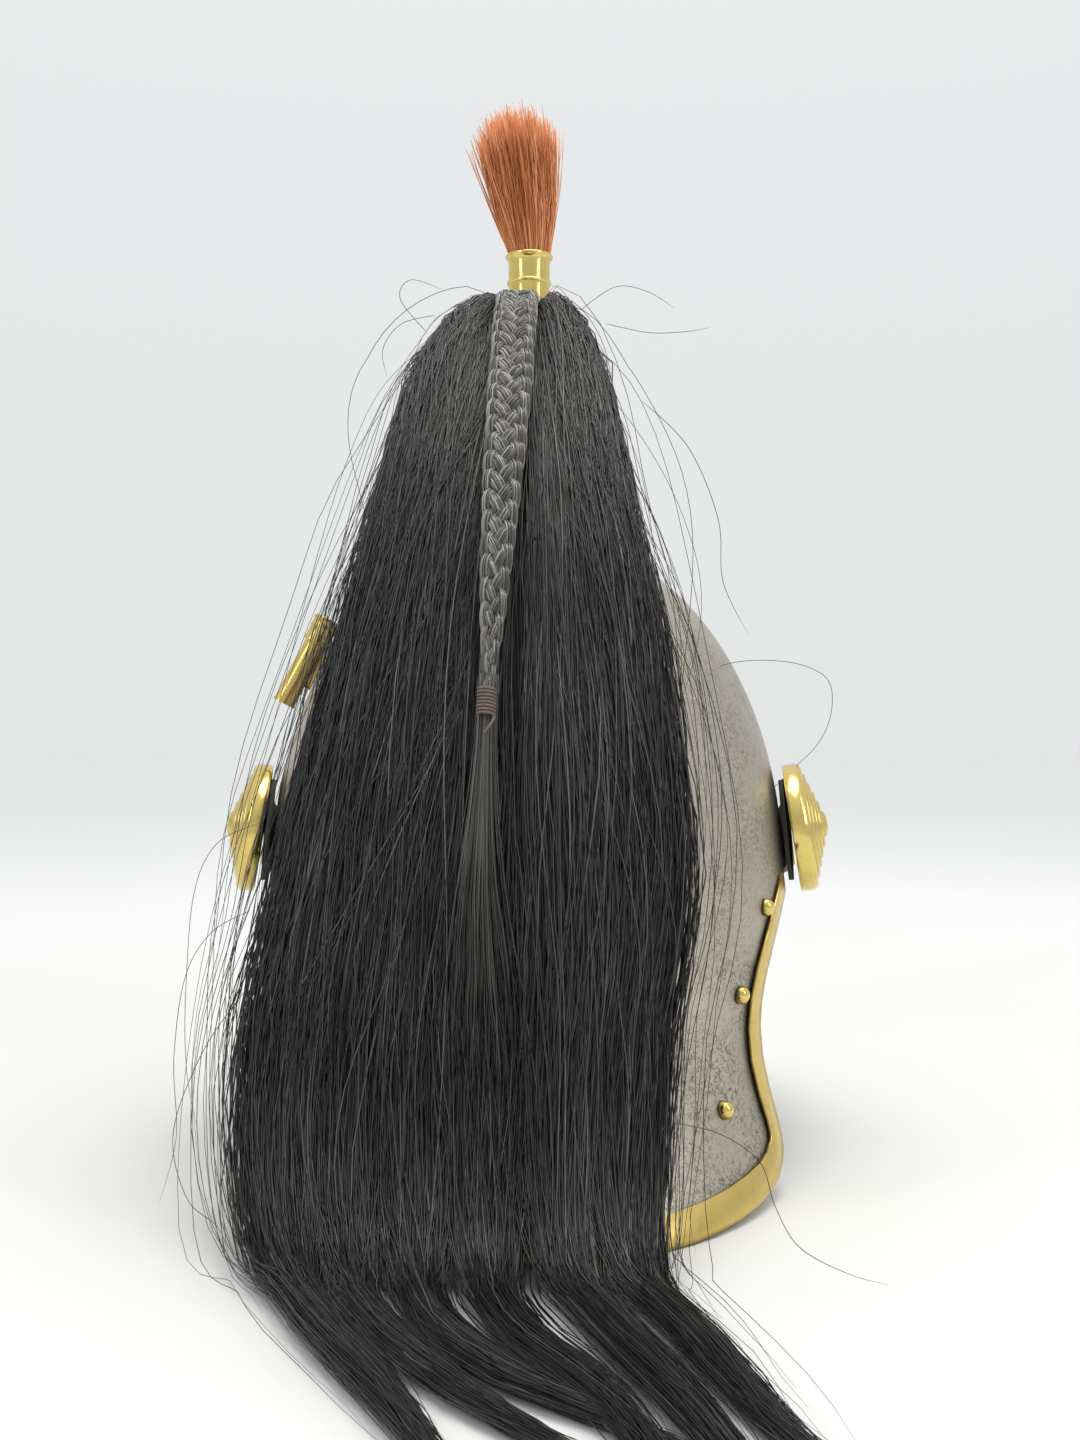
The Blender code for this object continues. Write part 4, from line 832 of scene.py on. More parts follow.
def crestRidge(place):
    # a point of the ridge, and its foot's angle, at a place from 0 at the brow to 1 at the tail
    s = skullShape
    rows = np.arange(len(crestTable))
    at = place * (len(crestTable) - 1)
    reach = float(curveThroughRows(rows, crestTable[:, 1], at))
    rise = float(curveThroughRows(rows, crestTable[:, 2], at))
    y = s["middleY"] + reach * (s["frontReach"] if reach < 0 else s["backReach"])
    z = s["widestLevel"] + rise * (crestShape["top"] - s["widestLevel"])
    return np.array([0.0, y, z]), float(curveThroughRows(rows, crestTable[:, 0], at))


def domeSidePoint(angle, x):
    # a point on the dome above x, at an angle round its middle from straight ahead over the top
    s = skullShape
    direction = np.array([0.0, -math.cos(math.radians(angle)), math.sin(math.radians(angle))])
    start = np.array([x, s["middleY"], s["widestLevel"]])
    near, far = 0.3 * s["domeHeight"], 1.5 * s["domeHeight"]
    for _ in range(40):
        trial = (near + far) / 2
        point = start + direction * trial
        breadth, front, back, middle = (float(v) for v in skullSection(min(point[2], skullTop - 1e-6)))
        reach = front if point[1] < middle else back
        inside = point[2] < skullTop and (x / breadth) ** 2 + ((point[1] - middle) / reach) ** 2 < 1
        near, far = (trial, far) if inside else (near, trial)
    return start + direction * (near + crestShape["gap"])


def crestSection(place):
    # half an outline of the crest: a bead at its foot, a gadroon, and a flat edge under its ridge
    c = crestShape
    ridge, angle = crestRidge(place)
    taper = 0.45 + 0.55 * min(1.0, 7 * place, 9 * (1 - place))
    footWidth = c["baseHalfWidth"] * taper
    ridgeWidth = c["ridgeHalfWidth"] * taper
    foot = domeSidePoint(angle, footWidth)
    footMiddle = domeSidePoint(angle, 0.0)
    phase = (place * c["gadroons"]) % 1.0
    lobe = math.sin(math.pi * phase) ** 0.9
    vein = 0.22 * math.exp(-((phase - 0.5) / 0.08) ** 2)
    half = []
    for rise in crestRises:
        spot = foot + (ridge - footMiddle) * rise
        chased = 1.0 if rise < beadTop else lobe - vein * (0.25 < rise < 0.86)
        side = footWidth + (ridgeWidth - footWidth) * rise**0.8
        side += c["gadroonDepth"] * float(np.interp(rise, *zip(*gadroonLifts))) * taper * chased
        half.append((side, spot[1], spot[2]))
    for share in (0.96, 0.86, 0.72, 0.5, 0.25):
        spot = ridge - (ridge - footMiddle) * 0.02 * max(0.0, (share - 0.6) / 0.36)
        half.append((ridgeWidth * share, spot[1], spot[2]))
    half.append(tuple(ridge))
    return half, footMiddle


def buildCrest():
    # sheet brass comb, chased with gadroons on both sides
    c = crestShape
    sections = []
    count = c["gadroons"] * c["stations"]
    for k in range(count + 1):
        half, footMiddle = crestSection(k / count)
        other = [(-x, y, z) for x, y, z in half[-2::-1]]
        sections.append(half + other + [tuple(footMiddle)])
    addPiece("crestComb", loftMesh("crestComb", sections), chasedBrass, ["crest"], 40)


buildCrest()


palmetteLooks = {
    "leaves": 7,
    "fan": 118.0,
    "length": 0.017,
    "width": 0.0031,
    "relief": 0.0013,
    "knob": 0.0028,
    "place": 0.10,
}


def buildPalmette():
    # a fan of plain leaves raised on the crest's front
    look = palmetteLooks
    low, _ = crestRidge(look["place"])
    high, _ = crestRidge(look["place"] + 0.08)
    up = Vector(high - low).normalized()
    right = Vector((1.0, 0.0, 0.0))
    out = Vector((0.0, -up.z, up.y))
    foot = Vector(low) - out * 0.0002
    made = bmesh.new()
    for k in range(look["leaves"]):
        lean = math.radians(look["fan"] * (k / (look["leaves"] - 1) - 0.5))
        along = up * math.cos(lean) + right * math.sin(lean)
        length = look["length"] * (0.62 + 0.38 * math.cos(lean))
        size = Matrix.Diagonal((look["width"], look["relief"], length / 2, 1.0))
        across = along.cross(out).normalized()
        turnTo = Matrix((across, out, along)).transposed().to_4x4()
        centre = foot + along * length * 0.52 - out * look["relief"] * 0.15
        centre.y += 0.10 * abs(centre.x)
        bmesh.ops.create_uvsphere(made, u_segments=20, v_segments=14, radius=1.0,
                                  matrix=Matrix.Translation(centre) @ turnTo @ size)
    bmesh.ops.create_uvsphere(made, u_segments=20, v_segments=12, radius=look["knob"],
                              matrix=Matrix.Translation(foot - out * 0.0008))
    addPiece("palmette", recorded(made, "palmette"), chasedBrass)


buildPalmette()
print("crest chased")


# Mane

maneLooks = {
    "hairs": 4400,
    "steps": 21,
    "radius": 0.00027,
    "depth": 0.0030,
    "clumps": 110,
    "clumpPull": 0.78,
    "clumpRelief": 0.0020,
    "clumpSway": 0.0020,
    "wander": 0.0034,
    "drift": 0.060,
    "onBackLength": 0.56,
    "lockLength": 0.15,
    "splitStart": 0.72,
    "groups": 4,
    "leftShare": 0.60,
    "skullGap": 0.0022,
    "seed": 11,
}
surfaceLooks = {
    "hairs": 520,
    "steps": 28,
    "radius": 0.00019,
    "sway": 0.0060,
}
flyawayLooks = {
    "hairs": 100,
    "steps": 32,
    "radius": 0.00013,
    "sway": 0.0045,
    "reach": 0.020,
    "pastBox": 0.008,
}
coreLooks = {
    "rows": 56,
    "columns": 40,
    "start": 0.005,
    "end": 0.800,
    "halfShare": 0.93,
}
plaitLooks = {
    "bundles": 5,
    "hairsEach": 15,
    "halfWidth": 0.0084,
    "halfThickness": 0.0042,
    "pitchTop": 0.024,
    "pitchBelow": 0.042,
    "start": 0.105,
    "end": 0.507,
    "steps": 150,
    "hairRadius": 0.00042,
    "coreColumns": 10,
    # the bundles' inside is painted darker, as shade
    "coreShadeTone": 0.25,
    "seed": 5,
}
tailLooks = {
    "hairs": 320,
    "steps": 20,
    "radius": 0.00022,
    "start": 0.498,
}
# The groove in the mane that the plait lies in
grooveDepth, grooveHalfWidth, grooveStart, grooveEnd = 0.0042, 0.0085, 0.085, 0.505
plaitStandoff = 0.0037  # how far the solid plait's back lies over the groove's bottom

# The mane's sections from behind the sleeve to the table: reach, height, lean in degrees, left and right
# edges, how far the edges hang, thickness, and how far the hair beside the plait stands over it
maneTable = np.array([
    (-0.235, 1.390, 84.0, 0.235, -0.175, 0.080, 0.080, 0.080, 0.010),
    (-0.120, 1.385, 80.0, 0.360, -0.255, 0.130, 0.130, 0.100, 0.090),
    (0.070, 1.360, 72.0, 0.440, -0.290, 0.180, 0.170, 0.125, 0.090),
    (0.290, 1.300, 62.0, 0.475, -0.310, 0.230, 0.220, 0.150, 0.080),
    (0.515, 1.195, 50.0, 0.515, -0.345, 0.290, 0.260, 0.170, 0.065),
    (0.735, 1.060, 39.0, 0.570, -0.390, 0.330, 0.290, 0.175, 0.055),
    (0.915, 0.905, 28.0, 0.640, -0.440, 0.370, 0.270, 0.165, 0.045),
    (1.035, 0.740, 18.0, 0.715, -0.490, 0.400, 0.240, 0.150, 0.035),
    (1.100, 0.570, 10.0, 0.800, -0.525, 0.430, 0.210, 0.130, 0.030),
    (1.130, 0.415, 2.0, 0.865, -0.505, 0.430, 0.190, 0.115, 0.025),
    (1.130, 0.285, 0.0, 0.930, -0.455, 0.400, 0.175, 0.105, 0.020),
    (1.160, 0.170, 8.0, 0.960, -0.435, 0.330, 0.155, 0.095, 0.015),
    (1.235, 0.090, 32.0, 0.930, -0.415, 0.260, 0.120, 0.090, 0.010),
    (1.360, 0.052, 64.0, 0.810, -0.430, 0.110, 0.050, 0.085, 0.000),
    (1.480, 0.042, 86.0, 0.720, -0.445, 0.020, 0.010, 0.080, 0.000),
])
maneColumn = {name: k for k, name in enumerate(
    ("reach", "height", "lean", "left", "right", "leftDrop", "rightDrop", "thick", "swell"))}

# The loose ends on the table: four places as shares of half breadth and back reach, then a width
endTable = [
    (0.700, 1.300, 0.560, 1.590, 0.290, 2.020, 0.030, 2.480, 1.10),
    (0.520, 1.310, 0.390, 1.600, 0.120, 1.950, -0.230, 2.260, 0.85),
    (0.320, 1.310, 0.230, 1.600, 0.000, 1.880, -0.400, 2.160, 0.90),
    (0.120, 1.310, 0.010, 1.650, -0.220, 1.990, -0.420, 2.540, 1.00),
    (-0.110, 1.310, -0.240, 1.630, -0.410, 2.020, -0.600, 2.600, 1.05),
    (-0.300, 1.310, -0.440, 1.610, -0.580, 2.020, -0.790, 2.440, 0.90),
]
endBounds = (1.0, 0.66, 0.44, 0.22, 0.0, -0.21, -0.46)
endHalfWidth = 0.0100
endHalfThickness = 0.0046
coreShallowest, coreDeepest = 0.0006, 0.0042

# The plait: how far along the mane, place across, and half width
plaitTable = np.array([
    (0.085, 0.030, 0.80), (0.150, 0.035, 1.00), (0.300, 0.055, 0.98),
    (0.390, 0.078, 0.80), (0.455, 0.098, 0.55), (0.505, 0.114, 0.36),
])


def maneValue(name, along):
    # one column of the mane's table, at shares of its length
    rows = np.arange(len(maneTable))
    return curveThroughRows(rows, maneTable[:, maneColumn[name]], along * (len(maneTable) - 1))


def maneOut(along):
    # the way straight out from the mane's surface
    lean = np.radians(maneValue("lean", along))
    return np.stack([np.zeros_like(lean), np.cos(lean), np.sin(lean)], axis=-1)


def maneEdge(along, side):
    # how far across the mane reaches on the side that the sign gives
    reach = np.where(side > 0, maneValue("left", along), -maneValue("right", along))
    return reach * skullShape["halfBreadth"]


def plaitAcross(along):
    return curveThroughRows(plaitTable[:, 0], plaitTable[:, 1], along) * skullShape["halfBreadth"]


def manePoint(along, share, depth):
    # a point of the mane: share runs from -1 at its right edge to 1 at its left, and depth goes in
    half = skullShape["halfBreadth"]
    edge = maneEdge(along, share)
    drop = np.where(share > 0, maneValue("leftDrop", along), maneValue("rightDrop", along)) * half
    across = np.abs(share)
    x = share * edge
    swell = maneValue("swell", along) * half * np.sin(np.pi * np.minimum(across * 1.15, 1.0)) ** 0.7
    groove = grooveDepth * np.exp(-(((x - plaitAcross(along)) / grooveHalfWidth) ** 2))
    groove = groove * np.clip(np.minimum(along / grooveStart, 1 - 6 * (along - grooveEnd)), 0.0, 1.0)
    out = maneOut(along)
    rise = swell - groove - drop * across**2.2 - depth
    middle = np.stack([x, skullShape["middleY"] + maneValue("reach", along) * skullShape["backReach"],
                       maneValue("height", along) * skullTop], axis=-1)
    return middle + out * rise[..., None]


def lengthsAlong(line):
    return np.concatenate([[0.0], np.cumsum(np.linalg.norm(np.diff(line, axis=0), axis=1))])


def placesOn(line, shares, at):
    # places on a line of points at the given shares of it
    return np.stack([np.interp(at, shares, line[:, i]) for i in range(3)], axis=-1)


def lockPaths():
    # the loose ends as fine lines on the table
    paths = []
    for row in endTable:
        spots = [(row[i] * skullShape["halfBreadth"], skullShape["middleY"] + row[i + 1] * skullShape["backReach"],
                  0.0) for i in (0, 2, 4, 6)]
        line = smoothLine(spots, 20)
        lengths = lengthsAlong(line)
        paths.append((line, lengths / lengths[-1]))
    return paths


def lockPoint(paths, lock, u, across, lift):
    # a point in a loose end: across and lift run from -1 to 1 within it
    found = np.zeros(u.shape + (3,))
    for k, (line, shares) in enumerate(paths):
        chosen = lock == k
        if not chosen.any():
            continue
        at = u[chosen]
        spot = placesOn(line, shares, at)
        way = unit(placesOn(line, shares, at + 0.02) - placesOn(line, shares, at - 0.02))
        side = np.stack([way[..., 1], -way[..., 0], np.zeros_like(at)], axis=-1)
        slim = np.minimum(1.0, 0.16 + 1.5 * (1 - at)) * (0.66 - 0.08 * smoothStep(at / 0.20))
        wide = endHalfWidth * endTable[k][8] * slim
        thick = endHalfThickness * (0.35 + 0.65 * slim)
        spot = spot + side * (wide * across[chosen])[..., None]
        rounded = np.sqrt(np.maximum(1 - across[chosen] ** 2, 0.04))
        spot[..., 2] = 0.0007 + thick * (1 + lift[chosen] * rounded)
        found[chosen] = spot
    return found


def waves(random, count, length, shortest, longest, size, terms=3):
    # smooth random wandering along each hair
    total = np.zeros(length.shape)
    for _ in range(terms):
        wave = random.uniform(shortest, longest, (count, 1))
        phase = random.uniform(0, 2 * np.pi, (count, 1))
        total = total + np.sin(2 * np.pi * length / wave + phase) * wave / longest
    return total * size / terms


def layHairs(random, count, steps, starts, finalShare, firstShare, sweep, depth, endsAt, lockOf, lockAcross, lockLift,
             wander, clumpWander, paths):
    # lays hairs from their roots beside the plait, out and down the back, and on along the loose ends
    look = maneLooks
    startLength = starts * look["onBackLength"]
    beyondBack = look["onBackLength"] + (endsAt - 1) * look["lockLength"]
    endLength = np.where(endsAt > 1, beyondBack, endsAt * look["onBackLength"])
    t = np.linspace(0, 1, steps)[None, :]
    length = startLength[:, None] + (endLength - startLength)[:, None] * t
    along = np.minimum(length / look["onBackLength"], 1.0)
    beyond = np.clip((length - look["onBackLength"]) / look["lockLength"], 0.0, 1.0)
    moved = 1 - (1 - np.clip((along - starts[:, None]) / sweep[:, None], 0, 1)) ** 2.2
    share = firstShare[:, None] + (finalShare - firstShare)[:, None] * moved
    share = share + waves(random, count, length, 0.10, 0.30, look["drift"]) * moved
    rising = smoothStep((along - starts[:, None]) / 0.035)
    inward = depth[:, None] * coreDepth(along, share) / coreDeepest + (1 - rising) * 0.0045
    points = manePoint(along, share, inward)
    points[..., 0] += waves(random, count, length, 0.09, 0.28, wander) * moved + clumpWander * moved
    points += maneOut(along) * (waves(random, count, length, 0.08, 0.24, wander * 0.4) * moved)[..., None]
    split = look["splitStart"]
    u = np.where(beyond > 0, 0.14 + 0.86 * beyond, 0.14 * np.clip((along - split) / (1 - split), 0, 1))
    grid = np.broadcast_to(lockOf[:, None], u.shape)
    onTable = lockPoint(paths, grid, u, np.broadcast_to(lockAcross[:, None], u.shape),
                        np.broadcast_to(lockLift[:, None], u.shape))
    onTable[..., 0] += waves(random, count, length, 0.05, 0.16, wander * 0.7) * (0.4 + 1.6 * u)
    onTable[..., 1] += waves(random, count, length, 0.05, 0.16, wander * 0.4)
    blend = smoothStep((length / look["onBackLength"] - split) / (1.0 - split))[..., None]
    points = points * (1 - blend) + onTable * blend
    points = clearOfSkull(points, look["skullGap"])
    points[..., 2] = np.maximum(points[..., 2], 0.0005)
    return points, along


def hairTaper(steps, radius):
    # each hair's radius along it: quickly full, and slim at its end
    t = np.linspace(0, 1, steps)
    shape = np.minimum(1.0, 0.5 + 10 * t) * np.clip(1.15 - t**6 * 0.9, 0.2, 1.0)
    return radius[:, None] * shape[None, :]


def rootsOf(random, count):
    # roots in tiers along the crest; the first tier's hair lies outermost and the last beside the plait
    tiers = np.array([0.010, 0.040, 0.110, 0.185, 0.265, 0.345, 0.415, 0.470])
    weights = np.array([0.16, 0.16, 0.15, 0.14, 0.12, 0.10, 0.08, 0.09])
    nearest = np.array([0.36, 0.30, 0.20, 0.12, 0.06, 0.02, -0.04, -0.12])
    farthest = np.array([0.96, 0.95, 0.93, 0.86, 0.74, 0.56, 0.40, 0.26])
    sweeps = np.array([0.14, 0.15, 0.24, 0.28, 0.30, 0.30, 0.28, 0.20])
    tier = random.choice(len(tiers), count, p=weights)
    starts = tiers[tier] + random.uniform(0.0, 0.035, count)
    final = nearest[tier] + (farthest[tier] - nearest[tier]) * random.uniform(0, 1, count)
    outermost = (random.uniform(0, 1, count) < 0.035) & (tier < 4)
    final = np.where(outermost, random.uniform(0.90, 1.05, count), final)
    sweep = sweeps[tier] * random.uniform(0.8, 1.25, count)
    return tier, starts, final, sweep


def lockOfX(x):
    # which loose end a place across the back runs into, and its place across that end
    edges = np.array(endBounds) * skullShape["halfBreadth"]
    lock = np.clip(np.searchsorted(-edges, -x, side="right") - 1, 0, len(endTable) - 1)
    centre = (edges[lock] + edges[lock + 1]) / 2
    half = (edges[lock] - edges[lock + 1]) / 2
    return lock, np.clip((x - centre) / half, -1, 1)


def crossesTo(final, side):
    # how far across the back a hair's end lies; the right side's hair falls closer in
    return final * side * skullShape["halfBreadth"] * np.where(side > 0, 0.93, 0.42)


def maneTones(random, count, along, share):
    # lighter where hair lies highest, a painted sheen as if lit from above, with a mixture of darker and greyer hairs
    base = random.normal(0.42, 0.20, count)
    base += 0.30 * (random.uniform(0, 1, count) > 0.9)
    # painted light: hair high on the mane and near its middle is given a lighter tone
    tone = base[:, None] + 0.22 * (1 - smoothStep(along / 0.60)) * (1 - 0.5 * share[:, None] ** 2)
    return np.clip(tone, 0.05, 1.0)


def coreDepth(along, share):
    # how deep the dark mass lies: shallow over the crest, deeper beside and below it
    beside = smoothStep((np.abs(share) - 0.10) / 0.25)
    below = smoothStep((along - 0.50) / 0.06)
    return coreShallowest + (coreDeepest - coreShallowest) * np.maximum(beside, below)


def buildManeCore():
    # the dark mass under the hairs, a little inside the solid's form; its near-black colour is painted shade, seen
    # through the gaps between hairs
    look = coreLooks
    sections = []
    for k in range(look["rows"] + 1):
        along = np.full(look["columns"] + 1, look["start"] + (look["end"] - look["start"]) * k / look["rows"])
        acrossFull = np.linspace(-look["halfShare"], look["halfShare"], look["columns"] + 1)
        share = acrossFull * (1 - 0.25 * smoothStep((along - 0.72) / 0.11))
        outer = manePoint(along, share, coreDepth(along, share))
        thick = maneValue("thick", along) * skullShape["halfBreadth"] * (1 - 0.75 * np.abs(acrossFull) ** 3)
        inner = manePoint(along, share, np.maximum(thick * 0.7, 0.0040))
        inner = clearOfSkull(inner, 0.0030)
        ring = np.concatenate([outer, inner[::-1]])
        ring[:, 2] = np.maximum(ring[:, 2], 0.001)
        sections.append(ring)
    addPiece("maneCore", loftMesh("maneCore", sections), hairInShadow, ["mane"], 60)


def clumpTraits():
    # what the hairs of one narrow lock share: relief, a tone that varies at random and is painted darker as shade for
    # locks that lie deeper, and a slow wave of two parts
    look = maneLooks
    count = 2 * look["clumps"]
    phases = np.random.default_rng(look["seed"] + 50).uniform(0, 2 * np.pi, (count, 2))
    lengths = np.random.default_rng(look["seed"] + 51).uniform(0.12, 0.32, (count, 2))
    relief = np.random.default_rng(look["seed"] + 52).uniform(0, 1, count) ** 1.6
    # painted shade: the deeper a lock lies, the darker its tone
    tones = np.random.default_rng(look["seed"] + 53).uniform(-0.12, 0.12, count) - 0.30 * relief
    return phases, lengths, relief, tones


def buildManeHair():
    # the mane's own hairs, in groups, gathered in narrow locks
    look = maneLooks
    random = np.random.default_rng(look["seed"])
    paths = lockPaths()
    phases, lengths, relief, clumpToneAndShade = clumpTraits()
    count = look["hairs"] // look["groups"]
    t = np.linspace(0, 1, look["steps"])[None, :]
    for group in range(look["groups"]):
        tier, starts, final, sweep = rootsOf(random, count)
        side = np.where(random.uniform(0, 1, count) < look["leftShare"], 1.0, -1.0)
        clumpShare = random.uniform(0.02, 1.02, look["clumps"])
        nearest = np.abs(final[:, None] - clumpShare[None, :]).argmin(axis=1)
        final = final + (clumpShare[nearest] - final) * look["clumpPull"] * random.uniform(0.3, 1.0, count)
        clump = nearest + look["clumps"] * (side > 0)
        first = np.where(side > 0, random.uniform(0.12, 0.26, count), random.uniform(0.06, 0.20, count))
        first = side * np.maximum(first + side * plaitAcross(starts) / maneEdge(starts, side), 0.02)
        depth = random.uniform(0, 1, count) ** 1.3 * look["depth"]
        depth = depth + 0.0006 * (tier / 7.0)
        depth = depth + relief[clump] * look["clumpRelief"]
        onTable = random.uniform(0, 1, count) < 0.86
        endsAt = np.where(onTable, random.uniform(1.45, 2.0, count), random.uniform(0.72, 1.4, count))
        lock, lockAcross = lockOfX(crossesTo(final, side) + random.normal(0, 0.0022, count))
        lockLift = random.uniform(-1, 1, count)
        lockAcross = np.clip(lockAcross + random.normal(0, 0.16, count), -1.1, 1.1)
        free = random.uniform(0, 1, count) < 0.07
        lockAcross = np.where(free, lockAcross * random.uniform(1.0, 2.0, count), lockAcross)
        startLength = starts[:, None] * look["onBackLength"]
        reach = 2 * np.pi * (startLength + (0.62 - startLength) * t)
        wave = np.sin(reach / lengths[clump, :1] + phases[clump, :1])
        wave += 0.6 * np.sin(reach / lengths[clump, 1:] * 1.7 + phases[clump, 1:])
        points, along = layHairs(random, count, look["steps"], starts, final * side, first, sweep, depth, endsAt,
                                 lock, lockAcross, lockLift, look["wander"], wave * look["clumpSway"], paths)
        radius = hairTaper(look["steps"], look["radius"] * random.uniform(0.75, 1.15, count))
        tones = np.clip(maneTones(random, count, along, final) + clumpToneAndShade[clump][:, None], 0.02, 1.0)
        addHairs(f"maneHair{group + 1}", points, radius, tones, blackHair, "black_horsehair",
                 roll=random.uniform(0, 6, count))


def buildSurfaceHairs():
    # lighter hairs that lie slantwise over the rest
    look = surfaceLooks
    random = np.random.default_rng(maneLooks["seed"] + 7)
    count, steps = look["hairs"], look["steps"]
    starts = random.uniform(0.01, 0.50, count)
    side = np.where(random.uniform(0, 1, count) < 0.58, 1.0, -1.0)
    final = random.uniform(0.02, 0.95, count)
    first = side * random.uniform(0.05, 0.25, count)
    lock, lockAcross = lockOfX(crossesTo(final, side))
    points, _ = layHairs(random, count, steps, starts, final * side, first, random.uniform(0.15, 0.45, count),
                         random.uniform(-0.0012, 0.0006, count), random.uniform(0.5, 1.95, count), lock, lockAcross,
                         random.uniform(0, 1, count), look["sway"], np.zeros((count, steps)), lockPaths())
    radius = hairTaper(steps, look["radius"] * random.uniform(0.8, 1.25, count))
    tone = np.clip(random.normal(0.68, 0.2, count), 0.2, 1.0)
    addHairs("maneSurfaceHair", points, radius, tone, blackHair, "black_horsehair", roll=random.uniform(0, 6, count))


def buildFlyaways():
    # loose hairs that stand off the mane, most of them at its edges
    look = flyawayLooks
    random = np.random.default_rng(maneLooks["seed"] + 3)
    count, steps = look["hairs"], look["steps"]
    starts = random.uniform(0.01, 0.40, count)
    side = np.where(random.uniform(0, 1, count) < 0.55, 1.0, -1.0)
    final = random.uniform(0.75, 1.14, count)
    endsAt = random.uniform(0.35, 1.9, count)
    first = side * random.uniform(0.1, 0.3, count)
    lock, lockAcross = lockOfX(crossesTo(final, side))
    points, along = layHairs(random, count, steps, starts, final * side, first, random.uniform(0.08, 0.3, count),
                             random.uniform(-0.004, 0.002, count), endsAt, lock,
                             lockAcross * random.uniform(0.8, 1.8, count), random.uniform(0, 2.5, count),
                             look["sway"], np.zeros((count, steps)), lockPaths())
    t = np.linspace(0, 1, steps)[None, :]
    lift = random.uniform(0.0, 1.0, count) ** 2.2 * look["reach"]
    swing = np.sin(np.pi * np.clip(t * random.uniform(0.7, 1.4, (count, 1)), 0, 1)) * lift[:, None]
    points[..., 0] += side[:, None] * swing
    points += maneOut(np.minimum(along, 1.0)) * (swing * random.uniform(-0.2, 0.6, (count, 1)))[..., None]
    points = clearOfSkull(points, maneLooks["skullGap"])
    points[..., 2] = np.maximum(points[..., 2], 0.0006)
    points = insideBox(points)
    radius = hairTaper(steps, look["radius"] * random.uniform(0.8, 1.2, count))
    addHairs("maneFlyaways", points, radius, random.uniform(0.25, 0.7, count), blackHair, "black_horsehair")


def insideBox(points):
    # keeps stray hairs close to the solids' box, with a soft limit
    margin = flyawayLooks["pastBox"]
    for axis, low, high in ((0, cadLow.x, cadHigh.x), (1, cadLow.y, cadHigh.y), (2, 0.0, cadHigh.z)):
        centre, half = (low + high) / 2, (high - low) / 2 + margin
        value = (points[..., axis] - centre) / half
        eased = np.sign(value) * (0.9 + 0.1 * np.tanh((np.abs(value) - 0.9) / 0.1))
        points[..., axis] = centre + np.where(np.abs(value) > 0.9, eased, value) * half
    points[..., 2] = np.maximum(points[..., 2], 0.0005)
    return points


looseLooks = {
    "steps": 60,
    "radius": 0.00014,
    "tone": 0.55,
}
# Long loose hairs that show on their own: each is a line of places in metres
looseLines = [
    [(-0.052, -0.020, 0.176), (-0.075, -0.035, 0.186), (-0.100, -0.050, 0.187), (-0.116, -0.058, 0.181),
     (-0.119, -0.060, 0.170), (-0.112, -0.056, 0.156), (-0.098, -0.046, 0.144), (-0.080, -0.020, 0.130),
     (-0.068, 0.010, 0.112)],
    [(0.096, -0.010, 0.128), (0.112, -0.018, 0.120), (0.121, -0.014, 0.100), (0.121, -0.004, 0.070),
     (0.116, 0.010, 0.046), (0.109, 0.024, 0.030)],
    [(0.094, 0.010, 0.100), (0.108, 0.008, 0.092), (0.117, 0.010, 0.076), (0.119, 0.018, 0.052),
     (0.115, 0.028, 0.028), (0.118, 0.040, 0.010)],
    [(0.090, 0.040, 0.078), (0.102, 0.046, 0.060), (0.110, 0.052, 0.036), (0.104, 0.060, 0.018),
     (0.092, 0.070, 0.012), (0.086, 0.082, 0.006)],
    [(0.040, -0.070, 0.318), (0.050, -0.066, 0.330), (0.046, -0.068, 0.338), (0.034, -0.074, 0.336)],
    [(0.036, -0.060, 0.322), (0.048, -0.050, 0.316), (0.054, -0.040, 0.304), (0.052, -0.036, 0.292)],
    [(-0.020, -0.070, 0.326), (-0.034, -0.064, 0.334), (-0.046, -0.056, 0.330), (-0.056, -0.050, 0.322)],
    [(-0.030, -0.050, 0.316), (-0.046, -0.040, 0.310), (-0.060, -0.034, 0.309), (-0.068, -0.032, 0.310)],
    [(-0.042, -0.020, 0.280), (-0.058, -0.014, 0.262), (-0.068, -0.010, 0.236), (-0.070, -0.012, 0.214),
     (-0.080, -0.020, 0.196)],
    [(-0.044, 0.078, 0.046), (-0.058, 0.080, 0.043), (-0.070, 0.078, 0.034), (-0.074, 0.080, 0.022),
     (-0.080, 0.086, 0.012), (-0.093, 0.092, 0.006), (-0.104, 0.094, 0.003)],
]


def buildLooseHairs():
    look = looseLooks
    paths = []
    for line in looseLines:
        fine = smoothLine(line, 14)
        run = lengthsAlong(fine)
        paths.append(placesOn(fine, run, np.linspace(0, run[-1], look["steps"])))
    radius = hairTaper(look["steps"], np.full(len(paths), look["radius"]))
    addHairs("looseHairs", insideBox(np.array(paths)), radius, np.full(len(paths), look["tone"]), blackHair,
             "black_horsehair")


buildManeCore()
buildManeHair()
buildSurfaceHairs()
buildFlyaways()
buildLooseHairs()
print("mane laid")


# Plait, its tie and its loose tail

def plaitLine(along):
    # middle of the plait, standing on the mane's groove, with its way out and half width
    share = plaitAcross(along) / maneEdge(along, 1)
    out = maneOut(along)
    half = plaitLooks["halfWidth"] * curveThroughRows(plaitTable[:, 0], plaitTable[:, 2], along)
    thick = plaitLooks["halfThickness"] * (0.45 + 0.55 * half / plaitLooks["halfWidth"])
    stand = (plaitStandoff + thick) * (0.35 + 0.65 * smoothStep((along - 0.09) / 0.09))
    middle = manePoint(along, share, np.zeros_like(along)) + out * stand[..., None]
    return middle, out, half, thick


